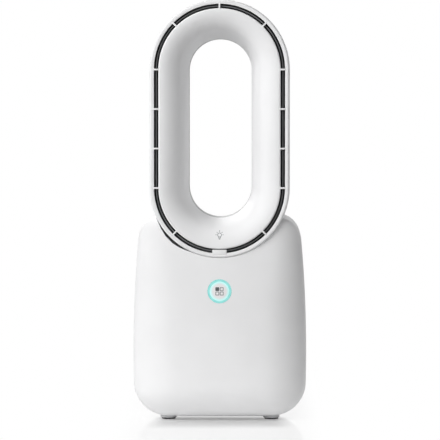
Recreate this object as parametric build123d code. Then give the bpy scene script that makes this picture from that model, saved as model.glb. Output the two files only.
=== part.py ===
from build123d import *
import os
from math import asin, cos, radians, sin, sqrt, tan

# A desk fan without open blades. An upright oval loop blows air out of a slot round its front edge. It is
# nested in a round saddle across the top of a rounded base, which holds the blower, the battery and the key.
# Millimetres, X to the right, Y to the back, Z up. The origin is on the desk, under the middle of the base.

# ---- loop ----
loop_low_z = 194.0            # centre of the lower half circle
loop_straight = 97.8          # height of the upright sides
slot_outer_radius = 54.1
rim_wall = 4.1                # outside the slot
rim_depth = 10.0
slot_width = 3.6
bore_radius = 25.9
loop_front_y = -49.5
loop_depth = 85.0
lip_radius = 15.0             # the flare's small arc, at the slot
flare_depth = 48.0            # from the front edge to the narrowest place
flare_tube = 14.0             # plain tube behind the narrowest place
loop_wall = 2.0
back_wall = 2.5
back_slope_depth = 18.0       # length of the rear part that slopes in
back_slope = 7.0              # by how much the outside slopes in there
rib_width = 1.4
rib_depth = 3.0
rib_angles = (-45.0, 0.0, 45.0)
side_rib_count = 4
tab_width = 12.0              # the plain tab at the foot of the slot
tab_depth = 8.0
tab_gap = 1.0
guide_wall = 0.8
guide_depth = 7.0
guide_play = 0.2
light_bar_width = 8.0
light_bar_thickness = 1.2
light_bar_margin = 4.0        # left free at each end of the straight sides
loop_seat_radius = 3.6        # round seats that carry the loop in the saddle
loop_seat_height = 8.0        # above the saddle's lowest line
loop_seat_y = (-35.0, 25.0)

# ---- base shell ----
base_width = 145.2            # greatest, where the rounded foot ends
base_depth = 104.0            # greatest, at the same height
underside_z = 2.5
base_top_z = 171.0
draw_in_angle = 1.9           # all four sides lean in
corner_radius = 30.0          # of the upright corners and of the lower edge
crown_radius = 17.0           # of the shoulders, seen from the front
base_wall = 2.5
thinnest_share = 0.8          # of the wall, left where the hollow's corners come nearest to the skin
parting_y = 10.0
saddle_clearance = 0.6

# ---- screws ----
screw_radius = 1.5
screw_play = 0.1
head_radius = 2.75
head_height = 2.0
head_play = 0.3
screw_reach = 10.0            # length in the boss
screw_end_play = 0.5
joint_screw_x = 47.0
joint_screw_z = 128.0
joint_web = 3.0               # material under the head
boss_wall = 1.6

# ---- underside ----
foot_x = 43.0
foot_y = 21.0
rubber_foot_radius = 6.8
foot_pocket = 1.0
foot_play = 0.1
hatch_margin = 0.6            # the hatch is this much longer than the battery tray at each end
hatch_depth = 42.0
hatch_radius = 9.0
hatch_flange = 1.5
hatch_step = 3.0              # how far the flange laps the front and back of the opening
hatch_end = 9.0               # how far it laps the two ends, which take the screws
hatch_play = 0.2
hatch_screw_inset = 4.5
hatch_boss_height = 5.0

# ---- touch key ----
key_z = 108.6
light_ring_radius = 9.9
light_ring_width = 2.0
key_play = 0.1
key_stack = 4.0               # from the skin to the board behind the key
board_thickness = 1.6
key_board_size = 32.0
rail_width = 2.0

# ---- blower ----
blower_y = -4.0
duct_room = 16.0              # from the base's greatest half depth in to the duct's bore
duct_wall = 1.8
duct_bottom_z = 43.0
duct_top_z = 104.0
inlet_lip = 7.0               # how far the duct's lower edge turns in
inlet_plate = 2.0
impeller_gap = 0.8
impeller_bottom_z = 49.0
impeller_height = 22.0
impeller_disc = 1.6
impeller_disc_radius = 24.0
hub_radius = 7.0
blade_count = 7
blade_thickness = 1.2
blade_angle = 50.0            # how far a blade leans back from the radius
motor_gap = 1.5               # impeller to motor
motor_radius = 14.0
motor_height = 21.0
motor_seat_radius = 17.0      # the plate over the motor, in the middle of the vanes
motor_seat_height = 3.0
vane_count = 5
vane_thickness = 1.4
vane_height = 12.0
vane_angle = 18.0
shoulder_height = 2.0         # the plate that narrows the duct to the neck
neck_radius = 22.0            # inside
neck_wall = 1.6
neck_play = 0.3
neck_reach = 7.0              # how far the neck stands into the loop, above its wall
shaft_radius = 1.5
shaft_nut_radius = 3.0
shaft_nut_height = 3.0
shaft_share = 0.7             # of the motor's height
fit_play = 0.05

# ---- battery ----
pack_length = 65.0
pack_width = 37.0
pack_height = 17.0
pack_play = 0.3
cradle_floor_z = 11.5
cradle_floor = 1.5
cradle_wall = 1.6
cradle_rim = 9.0
cradle_leg = 4.0
end_wall_width = 30.0
isolator_height = 2.0

# ---- control board ----
board_gap = 12.0              # side wall to the board
board_low_y = -32.0
board_high_y = 5.0
board_low_z = 44.0
board_high_z = 92.0
board_part_sizes = (10.0, 7.0, 12.0)
board_part_heights = (0.2, 0.5, 0.8)    # shares of the board's height
board_part_rise = 4.0         # off the board

# ---- charging inlet ----
jack_z = 22.0
jack_inset = 6.0              # from the base's greatest half depth in to the inlet's face
jack_width = 9.0
jack_height = 3.2
jack_length = 9.0
jack_metal = 0.35
jack_tongue_width = 6.2
jack_tongue_height = 0.7
jack_pocket_width = 15.0
jack_pocket_height = 8.0
jack_wall = 2.0

# ---- back cover ----
window_z = 69.0
window_size = 70.0
window_radius = 10.0
window_ledge = 3.0
window_frame = 2.0
cover_play = 0.35
cover_seat_depth = 5.0        # from the skin in to the flat seat
filter_thickness = 4.0
filter_play = 0.3
skirt_wall = 1.5
slot_count = 11
slot_pitch = 5.2
slot_height = 2.6
slot_margin = 6.0
slot_rib = 3.0                # the upright rib between the two rows of slots

FAR = 400.0                   # longer than anything here, for cutting tools
PAST = 1.0                    # how far a cutting tool runs past what it cuts
ROOT = 1.0                    # how deep a blade or vane is rooted in what carries it

# ---- places that follow from the sizes ----
loop_radius = slot_outer_radius + rim_wall
loop_high_z = loop_low_z + loop_straight
loop_back_y = loop_front_y + loop_depth
throat_y = loop_front_y + flare_depth
flare_seam_y = throat_y + flare_tube
slot_inner_radius = slot_outer_radius - slot_width
saddle_radius = loop_radius + saddle_clearance
saddle_z = loop_low_z - saddle_radius
loop_seat_top_z = saddle_z + loop_seat_height
lean = radians(draw_in_angle)
widest_z = underside_z + corner_radius * (1 + sin(lean))
floor_z = underside_z + base_wall
neck_outer = neck_radius + neck_wall
neck_top_z = loop_low_z - sqrt((loop_radius - loop_wall) ** 2 - neck_outer**2) + neck_reach - loop_wall
duct_radius = base_depth / 2 - duct_room
duct_outer = duct_radius + duct_wall
inlet_radius = duct_radius - inlet_lip
impeller_radius = duct_radius - impeller_gap
impeller_top_z = impeller_bottom_z + impeller_height
motor_low_z = impeller_top_z + motor_gap
motor_top_z = motor_low_z + motor_height
shaft_top_z = motor_low_z + shaft_share * motor_height
light_ring_inner = light_ring_radius - light_ring_width
joint_boss_radius = head_radius + head_play + boss_wall
hatch_boss_radius = screw_radius + screw_play + boss_wall
cover_seat_y = base_depth / 2 - cover_seat_depth
jack_face_y = base_depth / 2 - jack_inset
cradle_length = pack_length + 2 * pack_play + 2 * cradle_wall
cradle_width = pack_width + 2 * pack_play + 2 * cradle_wall
hatch_width = cradle_length + 2 * hatch_margin
hatch_screw_x = hatch_width / 2 - hatch_screw_inset


# ---- drawing helpers ----
def face_of(edges):
    return Face(Wire(edges))


def polygon(points):
    """A flat face from its corners."""
    corners = list(points)
    return face_of([Line(a, b) for a, b in zip(corners, corners[1:] + corners[:1])])


def cylinder_z(radius, low, high, x=0.0, y=0.0):
    return Pos(x, y, (low + high) / 2) * Cylinder(radius, high - low)


def tube_z(outer, inner, low, high, x=0.0, y=0.0):
    return cylinder_z(outer, low, high, x, y) - cylinder_z(inner, low - PAST, high + PAST, x, y)


def cylinder_y(radius, low, high, x=0.0, z=0.0):
    return Pos(x, (low + high) / 2, z) * Rot(90, 0, 0) * Cylinder(radius, high - low)


def block(x, y, z):
    """A box from its three (low, high) pairs."""
    sizes = [high - low for low, high in (x, y, z)]
    middle = [(high + low) / 2 for low, high in (x, y, z)]
    return Pos(*middle) * Box(*sizes)


def plate_z(width, depth, radius, low, high):
    return extrude(Pos(0, 0, low) * RectangleRounded(width, depth, radius), high - low)


def plate_y(width, height, radius, low, high, z):
    face = Pos(0, high, z) * Rot(90, 0, 0) * RectangleRounded(width, height, radius)
    return extrude(face, high - low)


def joined(first, others):
    for other in others:
        first = first + other
    return first


# ---- loop ----
def round_loop(profile):
    """Carries a face of (radius, Y) once round the upright oval."""
    low = Pos(0, 0, loop_low_z) * profile
    high = Pos(0, 0, loop_high_z) * profile
    lower = revolve(low, Axis((0, 0, loop_low_z), (0, 1, 0)), 180)
    upper = revolve(high, Axis((0, 0, loop_high_z), (0, -1, 0)), 180)
    side = extrude(low, loop_straight, dir=(0, 0, 1))
    return lower.fuse(upper, side, mirror(side, Plane.YZ)).clean()


def slot_ribs():
    """Short bars across the slot, rooted in the flare. The tab takes the place of the lowest."""
    reach = (slot_inner_radius - loop_wall / 2, slot_outer_radius)
    across = block(reach, (loop_front_y, loop_front_y + rib_depth), (-rib_width / 2, rib_width / 2))
    bars = []
    for angle in rib_angles:
        bars.append(Pos(0, 0, loop_high_z) * Rot(0, angle - 90, 0) * across)
        if angle:
            bars.append(Pos(0, 0, loop_low_z) * Rot(0, angle + 90, 0) * across)
    for step in range(side_rib_count):
        z = loop_low_z + loop_straight * step / (side_rib_count - 1)
        bars.append(Pos(0, 0, z) * across)
        bars.append(Pos(0, 0, z) * Rot(0, 180, 0) * across)
    return bars


def tab_block():
    """The plain tab at the foot of the slot, down to the slot's outer wall."""
    half = tab_width / 2
    top = loop_low_z - slot_inner_radius - tab_gap
    low = loop_low_z - loop_radius
    tab = block((-half, half), (loop_front_y, loop_front_y + tab_depth), (low, top))
    return tab & cylinder_y(slot_outer_radius + rim_wall / 2, -FAR, FAR, z=loop_low_z)


def loop_rear_shell():
    """Rim, outside, back and rear of the bore, hollow inside, with the seats that stand in the saddle."""
    wall = loop_wall
    full_y = loop_front_y + rim_depth
    slope_y = loop_back_y - back_slope_depth
    narrow = loop_radius - back_slope
    outside = [
        (slot_outer_radius, loop_front_y),
        (loop_radius, loop_front_y),
        (loop_radius, slope_y),
        (narrow, loop_back_y),
        (bore_radius, loop_back_y),
        (bore_radius, flare_seam_y),
    ]
    inside = [
        (bore_radius + wall, flare_seam_y),
        (bore_radius + wall, loop_back_y - back_wall),
        (narrow - wall, loop_back_y - back_wall),
        (loop_radius - wall, slope_y),
        (loop_radius - wall, full_y),
        (slot_outer_radius, full_y),
    ]
    shell = round_loop(polygon(outside + inside)) + tab_block()
    saddle = cylinder_y(saddle_radius, -FAR, FAR, z=loop_low_z)
    for y in loop_seat_y:
        shell = shell + (saddle & cylinder_z(loop_seat_radius, 0, loop_seat_top_z, y=y))
        shell = shell - cylinder_z(screw_radius + screw_play, 0, loop_seat_top_z - wall, y=y)
    return shell - cylinder_z(neck_outer + neck_play, saddle_z - PAST, neck_top_z + PAST, y=blower_y)


def bell_mouth():
    """Two arcs from the slot's edge to the bore, tangent where they meet, and the point behind the join."""
    across = slot_inner_radius - bore_radius
    bore_arc = (across**2 + flare_depth**2 - 2 * flare_depth * lip_radius) / (2 * (across - lip_radius))
    join = asin((flare_depth - lip_radius) / (bore_arc - lip_radius))
    lip_centre = (slot_inner_radius, loop_front_y + lip_radius)
    bore_centre = (bore_radius + bore_arc, throat_y)

    def on_arc(centre, radius, angle):
        return centre[0] - radius * cos(angle), centre[1] - radius * sin(angle)

    lip_edge = (slot_inner_radius, loop_front_y)
    meet = on_arc(lip_centre, lip_radius, join)
    lip_middle = on_arc(lip_centre, lip_radius, (join + radians(90)) / 2)
    bore_middle = on_arc(bore_centre, bore_arc, join / 2)
    bore_edge = (bore_radius, throat_y)
    arcs = [ThreePointArc(lip_edge, lip_middle, meet), ThreePointArc(meet, bore_middle, bore_edge)]
    return arcs, on_arc(lip_centre, lip_radius - loop_wall, join)


def loop_front_flare():
    """The bell mouth from the slot to the narrowest place, its short tube, and the ribs across the slot."""
    arcs, behind = bell_mouth()
    corners = [
        (bore_radius, throat_y),
        (bore_radius, flare_seam_y),
        (bore_radius + loop_wall, flare_seam_y),
        (bore_radius + loop_wall, throat_y),
        behind,
        (slot_inner_radius, behind[1]),
        (slot_inner_radius, loop_front_y),
    ]
    lines = [Line(a, b) for a, b in zip(corners, corners[1:])]
    flare = round_loop(face_of(arcs + lines))
    return joined(flare, slot_ribs())


def air_guide():
    """A thin vane that splits the slot. It stands on the backs of the ribs and is cut away for the tab."""
    middle = (slot_inner_radius + slot_outer_radius) / 2
    low_y = loop_front_y + rib_depth
    high_y = low_y + guide_depth
    section = [
        (middle - guide_wall / 2, low_y),
        (middle + guide_wall / 2, low_y),
        (middle + guide_wall / 2, high_y),
        (middle - guide_wall / 2, high_y),
    ]
    half = tab_width / 2 + guide_play
    notch = block((-half, half), (low_y - PAST, loop_front_y + tab_depth + guide_play), (0, loop_low_z))
    return round_loop(polygon(section)) - notch


def light_bars():
    """Two flat light bars on the straight sides of the flare's tube, inside the loop."""
    face_x = bore_radius + loop_wall
    y = throat_y + flare_tube / 2
    span_z = (loop_low_z + light_bar_margin, loop_high_z - light_bar_margin)
    span_y = (y - light_bar_width / 2, y + light_bar_width / 2)
    right = block((face_x, face_x + light_bar_thickness), span_y, span_z)
    return Compound([right, mirror(right, Plane.YZ)])


def loop_screws():
    """They hold the loop's seats down from under the saddle."""
    under = saddle_z - base_wall
    top = loop_seat_top_z - loop_wall - screw_end_play
    screws = [
        cylinder_z(head_radius, under - head_height, under, y=y) + cylinder_z(screw_radius, under, top, y=y)
        for y in loop_seat_y
    ]
    return Compound(screws)


# ---- base shell ----
def side_at(z, inset, size):
    """Distance from the middle to a leaning side at a height, for the greatest width or depth given."""
    widest = size / 2 - corner_radius * (1 - cos(lean))
    return widest - tan(lean) * (z - widest_z) - inset / cos(lean)


def leaning_block(inset):
    """A block with the base's four leaning sides, set in all round, and its upright and lower edges."""
    low = underside_z + inset
    spread = 2 * (side_at(low, inset, base_width) - base_width / 2)
    foot = Pos(0, 0, low) * Rectangle(base_width + spread, base_depth + spread)
    solid = extrude(foot, base_top_z - inset - low, taper=draw_in_angle)
    edges = [edge for edge in solid.edges() if edge.center().Z < base_top_z - 2 * inset - 1]
    return solid, edges


def under_shoulders(inset):
    """Everything under the rounded shoulders, as an outline carried from front to back."""
    radius = crown_radius - inset
    top = base_top_z - inset
    middle_z = top - radius
    middle_x = side_at(middle_z, crown_radius, base_width)

    def on_arc(angle, side):
        return side * (middle_x + radius * cos(angle)), 0, middle_z + radius * sin(angle)

    half_way = (lean + radians(90)) / 2
    foot_z = on_arc(lean, 1)[2]
    edges = [
        Line((-middle_x, 0, top), (middle_x, 0, top)),
        ThreePointArc((middle_x, 0, top), on_arc(half_way, 1), on_arc(lean, 1)),
        Line(on_arc(lean, 1), (FAR, 0, foot_z)),
        Line((FAR, 0, foot_z), (FAR, 0, -FAR)),
        Line((FAR, 0, -FAR), (-FAR, 0, -FAR)),
        Line((-FAR, 0, -FAR), (-FAR, 0, foot_z)),
        Line((-FAR, 0, foot_z), on_arc(lean, -1)),
        ThreePointArc(on_arc(lean, -1), on_arc(half_way, -1), (-middle_x, 0, top)),
    ]
    return extrude(face_of(edges), FAR, both=True)


def base_skin():
    """The outside of the base with the saddle cut out."""
    solid, edges = leaning_block(0)
    rounded = fillet(edges, corner_radius)
    return (rounded & under_shoulders(0)) - cylinder_y(saddle_radius, -FAR, FAR, z=loop_low_z)


def base_wall_solid(skin):
    """Skin and saddle floor, one wall thick, with flat cut corners in the hollow."""
    inner = corner_radius - base_wall
    corner_cut = 2 * inner - 2 * (corner_radius - thinnest_share * base_wall) / sqrt(3)
    solid, edges = leaning_block(base_wall)
    hollow = chamfer(edges, corner_cut) & under_shoulders(base_wall)
    hollow = hollow - cylinder_y(saddle_radius + base_wall, -FAR, FAR, z=loop_low_z)
    shell = skin - hollow
    low = saddle_z - 2 * base_wall
    shell = shell - cylinder_z(neck_outer + neck_play, low, loop_low_z, y=blower_y)
    for y in loop_seat_y:
        shell = shell - cylinder_z(screw_radius + screw_play, low, loop_low_z, y=y)
    for x in (-foot_x, foot_x):
        for y in (-foot_y, foot_y):
            shell = shell - cylinder_z(rubber_foot_radius + foot_play, 0, underside_z + foot_pocket, x, y)
    return shell


def with_hatch(shell):
    """Opens the hole for the hatch, with a ledge all round."""
    ledge_z = underside_z + hatch_flange
    inner_width = hatch_width - 2 * hatch_end
    inner_depth = hatch_depth - 2 * hatch_step
    shell = shell - plate_z(inner_width, inner_depth, hatch_radius - hatch_step, 0, floor_z + PAST)
    width = hatch_width + 2 * hatch_play
    depth = hatch_depth + 2 * hatch_play
    return shell - plate_z(width, depth, hatch_radius, 0, ledge_z)


def key_plane():
    """Origin on the skin at the touch key, Z out of the skin."""
    y = -side_at(key_z, 0, base_depth)
    return Plane(origin=(0, y, key_z), x_dir=(1, 0, 0), z_dir=(0, -cos(lean), sin(lean)))


def at_key(shape):
    return key_plane().location * shape


def key_cylinder(radius, depth):
    """A cylinder from well outside the skin in to a depth behind it."""
    return at_key(Pos(0, 0, (corner_radius - depth) / 2) * Cylinder(radius, corner_radius + depth))


def base_front_shell(skin, wall_solid):
    front = block((-FAR, FAR), (-FAR, parting_y), (-FAR, FAR))
    shell = wall_solid & front
    rail_x = key_board_size / 2 - rail_width / 2
    for side in (-1, 1):
        boss = cylinder_y(joint_boss_radius, -FAR, parting_y, side * joint_screw_x, joint_screw_z)
        shell = shell + (boss & skin)
        pilot = cylinder_y(
            screw_radius + screw_play,
            parting_y - screw_reach - screw_end_play,
            parting_y,
            side * joint_screw_x,
            joint_screw_z,
        )
        shell = shell - pilot
        rail = at_key(Pos(side * rail_x, 0, -key_stack / 2) * Box(rail_width, key_board_size, key_stack))
        shell = shell + (rail & skin)
        shell = shell - key_cylinder(light_ring_radius + key_play, base_wall + rail_width)
    for low_y in (board_low_y, board_high_y - rail_width):
        inner_x = base_width / 2 - base_wall - board_gap
        rail = block((inner_x, FAR), (low_y, low_y + rail_width), (board_low_z, board_high_z))
        shell = shell + (rail & skin)
    ledge_z = underside_z + hatch_flange
    for x in (-hatch_screw_x, hatch_screw_x):
        shell = shell + cylinder_z(hatch_boss_radius, ledge_z, floor_z + hatch_boss_height, x)
        shell = shell - cylinder_z(screw_radius + screw_play, 0, floor_z + hatch_boss_height - PAST, x)
    return with_hatch(shell)


def window_opening(grow, low, high):
    """The back window's rounded square, grown all round, between two depths."""
    size = window_size + 2 * grow
    return plate_y(size, size, window_radius + grow, low, high, window_z)


def base_rear_shell(skin, wall_solid):
    rear = block((-FAR, FAR), (parting_y, FAR), (-FAR, FAR))
    shell = wall_solid & rear
    seat_y = cover_seat_y - cover_play
    frame = window_opening(window_frame, seat_y - window_frame, FAR) & skin
    shell = shell + frame
    shell = shell - window_opening(0, seat_y, FAR) - window_opening(-window_ledge, parting_y, FAR)
    for side in (-1, 1):
        x = side * joint_screw_x
        boss = cylinder_y(joint_boss_radius, parting_y, FAR, x, joint_screw_z) & skin
        shell = shell + boss
        shell = shell - cylinder_y(screw_radius + screw_play, 0, FAR, x, joint_screw_z)
        shell = shell - cylinder_y(head_radius + head_play, parting_y + joint_web, FAR, x, joint_screw_z)
    half = jack_pocket_width / 2
    rise = jack_pocket_height / 2
    outer_x = half + jack_wall
    outer_z = rise + jack_wall
    housing = block((-outer_x, outer_x), (jack_face_y - jack_wall, FAR), (jack_z - outer_z, jack_z + outer_z))
    shell = shell + (housing & skin)
    shell = shell - block((-half, half), (jack_face_y, FAR), (jack_z - rise, jack_z + rise))
    shell = shell - plate_y(
        jack_width + 2 * fit_play,
        jack_height + 2 * fit_play,
        jack_height / 2,
        jack_face_y - jack_length,
        FAR,
        jack_z,
    )
    return with_hatch(shell)


def joint_screws():
    """They pull the rear shell onto the front shell, from the bottom of two deep holes."""
    head_y = parting_y + joint_web
    screws = []
    for x in (-joint_screw_x, joint_screw_x):
        head = cylinder_y(head_radius, head_y, head_y + head_height, x, joint_screw_z)
        screws.append(head + cylinder_y(screw_radius, parting_y - screw_reach, head_y, x, joint_screw_z))
    return Compound(screws)


def bottom_hatch():
    """The flush cover of the underside, with a raised middle that fills the opening."""
    flange_z = underside_z + hatch_flange
    hatch = plate_z(hatch_width, hatch_depth, hatch_radius - hatch_play, underside_z, flange_z)
    width = hatch_width - 2 * hatch_end - 2 * hatch_play
    depth = hatch_depth - 2 * hatch_step - 2 * hatch_play
    hatch = hatch + plate_z(width, depth, hatch_radius - hatch_step - hatch_play, flange_z, floor_z)
    for x in (-hatch_screw_x, hatch_screw_x):
        hatch = hatch - cylinder_z(screw_radius + screw_play, 0, flange_z, x)
        hatch = hatch - cylinder_z(head_radius + head_play / 2, 0, underside_z + hatch_flange / 2, x)
    return hatch


def hatch_screws():
    head_z = underside_z + hatch_flange / 2
    top = floor_z + hatch_boss_height - PAST - screw_end_play
    screws = []
    for x in (-hatch_screw_x, hatch_screw_x):
        head = cylinder_z(head_radius, underside_z + hatch_play, head_z, x)
        screws.append(head + cylinder_z(screw_radius, head_z, top, x))
    return Compound(screws)


def rubber_feet():
    top = underside_z + foot_pocket
    places = [(x, y) for x in (-foot_x, foot_x) for y in (-foot_y, foot_y)]
    return Compound([cylinder_z(rubber_foot_radius, 0, top, x, y) for x, y in places])


# ---- touch key ----
def light_ring(skin):
    """A clear ring that brings the key's light to the skin."""
    ring = key_cylinder(light_ring_radius, key_stack) - key_cylinder(light_ring_inner, key_stack + PAST)
    return ring & skin


def touch_key(skin):
    """The round window inside the ring. It is touched and does not travel."""
    return key_cylinder(light_ring_inner - key_play, key_stack) & skin


def key_board():
    middle = Pos(0, 0, -key_stack - board_thickness / 2)
    return at_key(middle * Box(key_board_size, key_board_size, board_thickness))


# ---- blower ----
def blower_duct():
    """Tube with an inlet lip below, and the motor's seat plate in the middle of slanted guide vanes."""
    tube = tube_z(duct_outer, duct_radius, duct_bottom_z, duct_top_z, y=blower_y)
    tube = tube + tube_z(duct_outer, inlet_radius, duct_bottom_z, duct_bottom_z + inlet_plate, y=blower_y)
    seat_top = motor_top_z + motor_seat_height
    seat = cylinder_z(motor_seat_radius, motor_top_z, seat_top, y=blower_y)
    vane_low = seat_top - vane_height
    ring = tube_z(duct_radius + duct_wall / 2, motor_seat_radius - ROOT, vane_low, seat_top, y=blower_y)
    length = duct_radius - motor_seat_radius + 2 * duct_wall
    reach = (motor_seat_radius + duct_radius) / 2
    blade = Pos(reach, 0, 0) * Rot(vane_angle, 0, 0) * Box(length, vane_thickness, FAR)
    for step in range(vane_count):
        vane = Pos(0, blower_y, (vane_low + seat_top) / 2) * Rot(0, 0, 360 * step / vane_count) * blade
        seat = seat + (vane & ring)
    return tube + seat


def duct_neck():
    """The plate on top of the duct and the neck that rises through the saddle into the loop."""
    plate_top = duct_top_z + shoulder_height
    plate = tube_z(duct_outer, neck_radius, duct_top_z, plate_top, y=blower_y)
    return plate + tube_z(neck_outer, neck_radius, plate_top, neck_top_z, y=blower_y)


def impeller():
    """A disc on a hub, with flat blades that hang from the disc and lean back past its edge to the rim."""
    low = impeller_bottom_z
    top = impeller_top_z
    wheel = cylinder_z(hub_radius, low, top, y=blower_y)
    wheel = wheel + cylinder_z(impeller_disc_radius, top - impeller_disc, top, y=blower_y)
    sweep = tube_z(impeller_radius, hub_radius - ROOT, low, top, y=blower_y)
    half = blade_thickness / 2
    blade = Pos(hub_radius - ROOT, 0, 0) * Rot(0, 0, blade_angle) * block((0, FAR), (-half, half), (low, top))
    for step in range(blade_count):
        placed = Pos(0, blower_y, 0) * Rot(0, 0, 360 * step / blade_count) * blade
        wheel = wheel + (placed & sweep)
    return wheel - cylinder_z(shaft_radius + fit_play, low - PAST, top + PAST, y=blower_y)


def motor_parts():
    """Motor can under its seat plate, and the shaft with the nut that holds the impeller."""
    nut_low = impeller_bottom_z - shaft_nut_height
    can = cylinder_z(motor_radius, motor_low_z, motor_top_z, y=blower_y)
    nut = cylinder_z(shaft_nut_radius, nut_low, impeller_bottom_z, y=blower_y)
    bore = shaft_radius + fit_play
    return {
        "motor_can": can - cylinder_z(bore, motor_low_z - PAST, shaft_top_z + screw_end_play, y=blower_y),
        "motor_shaft": cylinder_z(shaft_radius, nut_low, shaft_top_z, y=blower_y),
        "shaft_nut": nut - cylinder_z(bore, nut_low - PAST, impeller_bottom_z + PAST, y=blower_y),
    }


# ---- battery ----
def battery_cradle():
    """Tray on legs for the battery. Its end walls also carry the blower."""
    half_length = cradle_length / 2
    half_width = cradle_width / 2
    floor_top = cradle_floor_z + cradle_floor
    rim_top = floor_top + cradle_rim
    wall_top = duct_bottom_z - isolator_height
    tray = block((-half_length, half_length), (-half_width, half_width), (cradle_floor_z, rim_top))
    inner_length = half_length - cradle_wall
    inner_width = half_width - cradle_wall
    inside = block((-inner_length, inner_length), (-inner_width, inner_width), (floor_top, rim_top + PAST))
    end_span = (-end_wall_width / 2, end_wall_width / 2)
    end_wall = block((inner_length, half_length), end_span, (floor_top, wall_top))
    tray = (tray - inside) + end_wall + mirror(end_wall, Plane.YZ)
    leg_x = half_length - cradle_leg / 2
    leg = Box(cradle_leg, cradle_leg, cradle_floor_z - floor_z)
    for x in (-leg_x, leg_x):
        for y in (-end_wall_width / 4, end_wall_width / 4):
            tray = tray + Pos(x, y, (floor_z + cradle_floor_z) / 2) * leg
    return tray


def battery_pack():
    low = cradle_floor_z + cradle_floor
    return Pos(0, 0, low + pack_height / 2) * Box(pack_length, pack_width, pack_height)


def blower_isolators():
    """Rubber strips between the cradle's end walls and the duct."""
    strips = []
    x = cradle_length / 2 - cradle_wall / 2
    z = duct_bottom_z - isolator_height / 2
    for side in (-1, 1):
        strips.append(Pos(side * x, 0, z) * Box(cradle_wall, end_wall_width, isolator_height))
    return Compound(strips)


# ---- boards and inlet ----
def control_board():
    """Upright board on the right wall's rails, with its larger components."""
    face = base_width / 2 - base_wall - board_gap
    board = block((face - board_thickness, face), (board_low_y, board_high_y), (board_low_z, board_high_z))
    middle_y = (board_low_y + board_high_y) / 2
    back = face - board_thickness
    for share, size in zip(board_part_heights, board_part_sizes):
        z = board_low_z + share * (board_high_z - board_low_z)
        board = board + Pos(back - board_part_rise / 2, middle_y, z) * Box(board_part_rise, size, size)
    return board


def charging_inlet():
    """Metal shell with its tongue, flush with the floor of the pocket at the back."""
    back = jack_face_y
    front = jack_face_y - jack_length
    shell = plate_y(jack_width, jack_height, jack_height / 2 - fit_play, front, back, jack_z)
    inner_width = jack_width - 2 * jack_metal
    inner_height = jack_height - 2 * jack_metal
    radius = inner_height / 2 - fit_play
    hollow = plate_y(inner_width, inner_height, radius, front + jack_metal, back + PAST, jack_z)
    half = jack_tongue_width / 2
    rise = jack_tongue_height / 2
    tongue = block((-half, half), (front, back - jack_tongue_height), (jack_z - rise, jack_z + rise))
    return (shell - hollow) + tongue


# ---- back cover ----
def intake_cover(skin):
    """Slotted cover that follows the skin outside, with a flat seat and a skirt that holds the filter."""
    plate = window_opening(-cover_play, cover_seat_y, FAR) & skin
    low_x = slot_rib / 2
    high_x = window_size / 2 - slot_margin
    for step in range(slot_count):
        z = window_z + (step - (slot_count - 1) / 2) * slot_pitch
        slot = block((low_x, high_x), (0, FAR), (z - slot_height / 2, z + slot_height / 2))
        plate = plate - slot - mirror(slot, Plane.YZ)
    outer = -window_ledge - cover_play
    low = cover_seat_y - filter_thickness
    inside = window_opening(outer - skirt_wall, low - PAST, cover_seat_y + PAST)
    return plate + (window_opening(outer, low, cover_seat_y) - inside)


def intake_filter():
    inset = -window_ledge - cover_play - skirt_wall - filter_play
    return window_opening(inset, cover_seat_y - filter_thickness, cover_seat_y)


def all_parts():
    skin = base_skin()
    wall_solid = base_wall_solid(skin)
    parts = {
        "loop_rear_shell": loop_rear_shell(),
        "loop_front_flare": loop_front_flare(),
        "air_guide": air_guide(),
        "light_bars": light_bars(),
        "loop_screws": loop_screws(),
        "base_front_shell": base_front_shell(skin, wall_solid),
        "base_rear_shell": base_rear_shell(skin, wall_solid),
        "joint_screws": joint_screws(),
        "bottom_hatch": bottom_hatch(),
        "hatch_screws": hatch_screws(),
        "rubber_feet": rubber_feet(),
        "light_ring": light_ring(skin),
        "touch_key": touch_key(skin),
        "key_board": key_board(),
        "blower_duct": blower_duct(),
        "duct_neck": duct_neck(),
        "impeller": impeller(),
        "battery_cradle": battery_cradle(),
        "battery_pack": battery_pack(),
        "blower_isolators": blower_isolators(),
        "control_board": control_board(),
        "charging_inlet": charging_inlet(),
        "intake_cover": intake_cover(skin),
        "intake_filter": intake_filter(),
    }
    parts.update(motor_parts())
    return parts


if __name__ == "__main__":
    os.makedirs("parts", exist_ok=True)
    for name, shape in all_parts().items():
        export_step(shape, f"parts/{name}.step")
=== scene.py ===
from math import acos, asin, atan, atan2, ceil, cos, pi, radians, sin, sqrt, tan

import bmesh
import bpy
from bpy.props import FloatProperty, FloatVectorProperty, PointerProperty
from mathutils import Matrix, Vector


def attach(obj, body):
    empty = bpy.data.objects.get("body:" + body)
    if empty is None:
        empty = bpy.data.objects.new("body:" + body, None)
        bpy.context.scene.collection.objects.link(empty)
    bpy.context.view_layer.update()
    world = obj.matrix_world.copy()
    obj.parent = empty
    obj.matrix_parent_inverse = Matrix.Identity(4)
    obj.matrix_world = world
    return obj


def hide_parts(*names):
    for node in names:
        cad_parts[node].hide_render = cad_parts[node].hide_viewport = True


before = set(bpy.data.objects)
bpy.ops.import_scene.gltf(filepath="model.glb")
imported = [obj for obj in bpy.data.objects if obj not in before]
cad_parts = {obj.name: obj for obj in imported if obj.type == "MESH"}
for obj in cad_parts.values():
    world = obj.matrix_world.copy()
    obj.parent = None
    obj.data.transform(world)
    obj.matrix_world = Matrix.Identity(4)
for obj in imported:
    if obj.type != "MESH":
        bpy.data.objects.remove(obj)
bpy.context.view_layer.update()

bl_info = {
    "name": "Bladeless desk fan",
    "version": (1, 0, 0),
    "blender": (4, 5, 0),
    "location": "3D View > Sidebar > Fan",
    "description": "Dresses the fan's solids with rounded shells, signs, screws and moulded finishes",
    "category": "Add Mesh",
}


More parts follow.
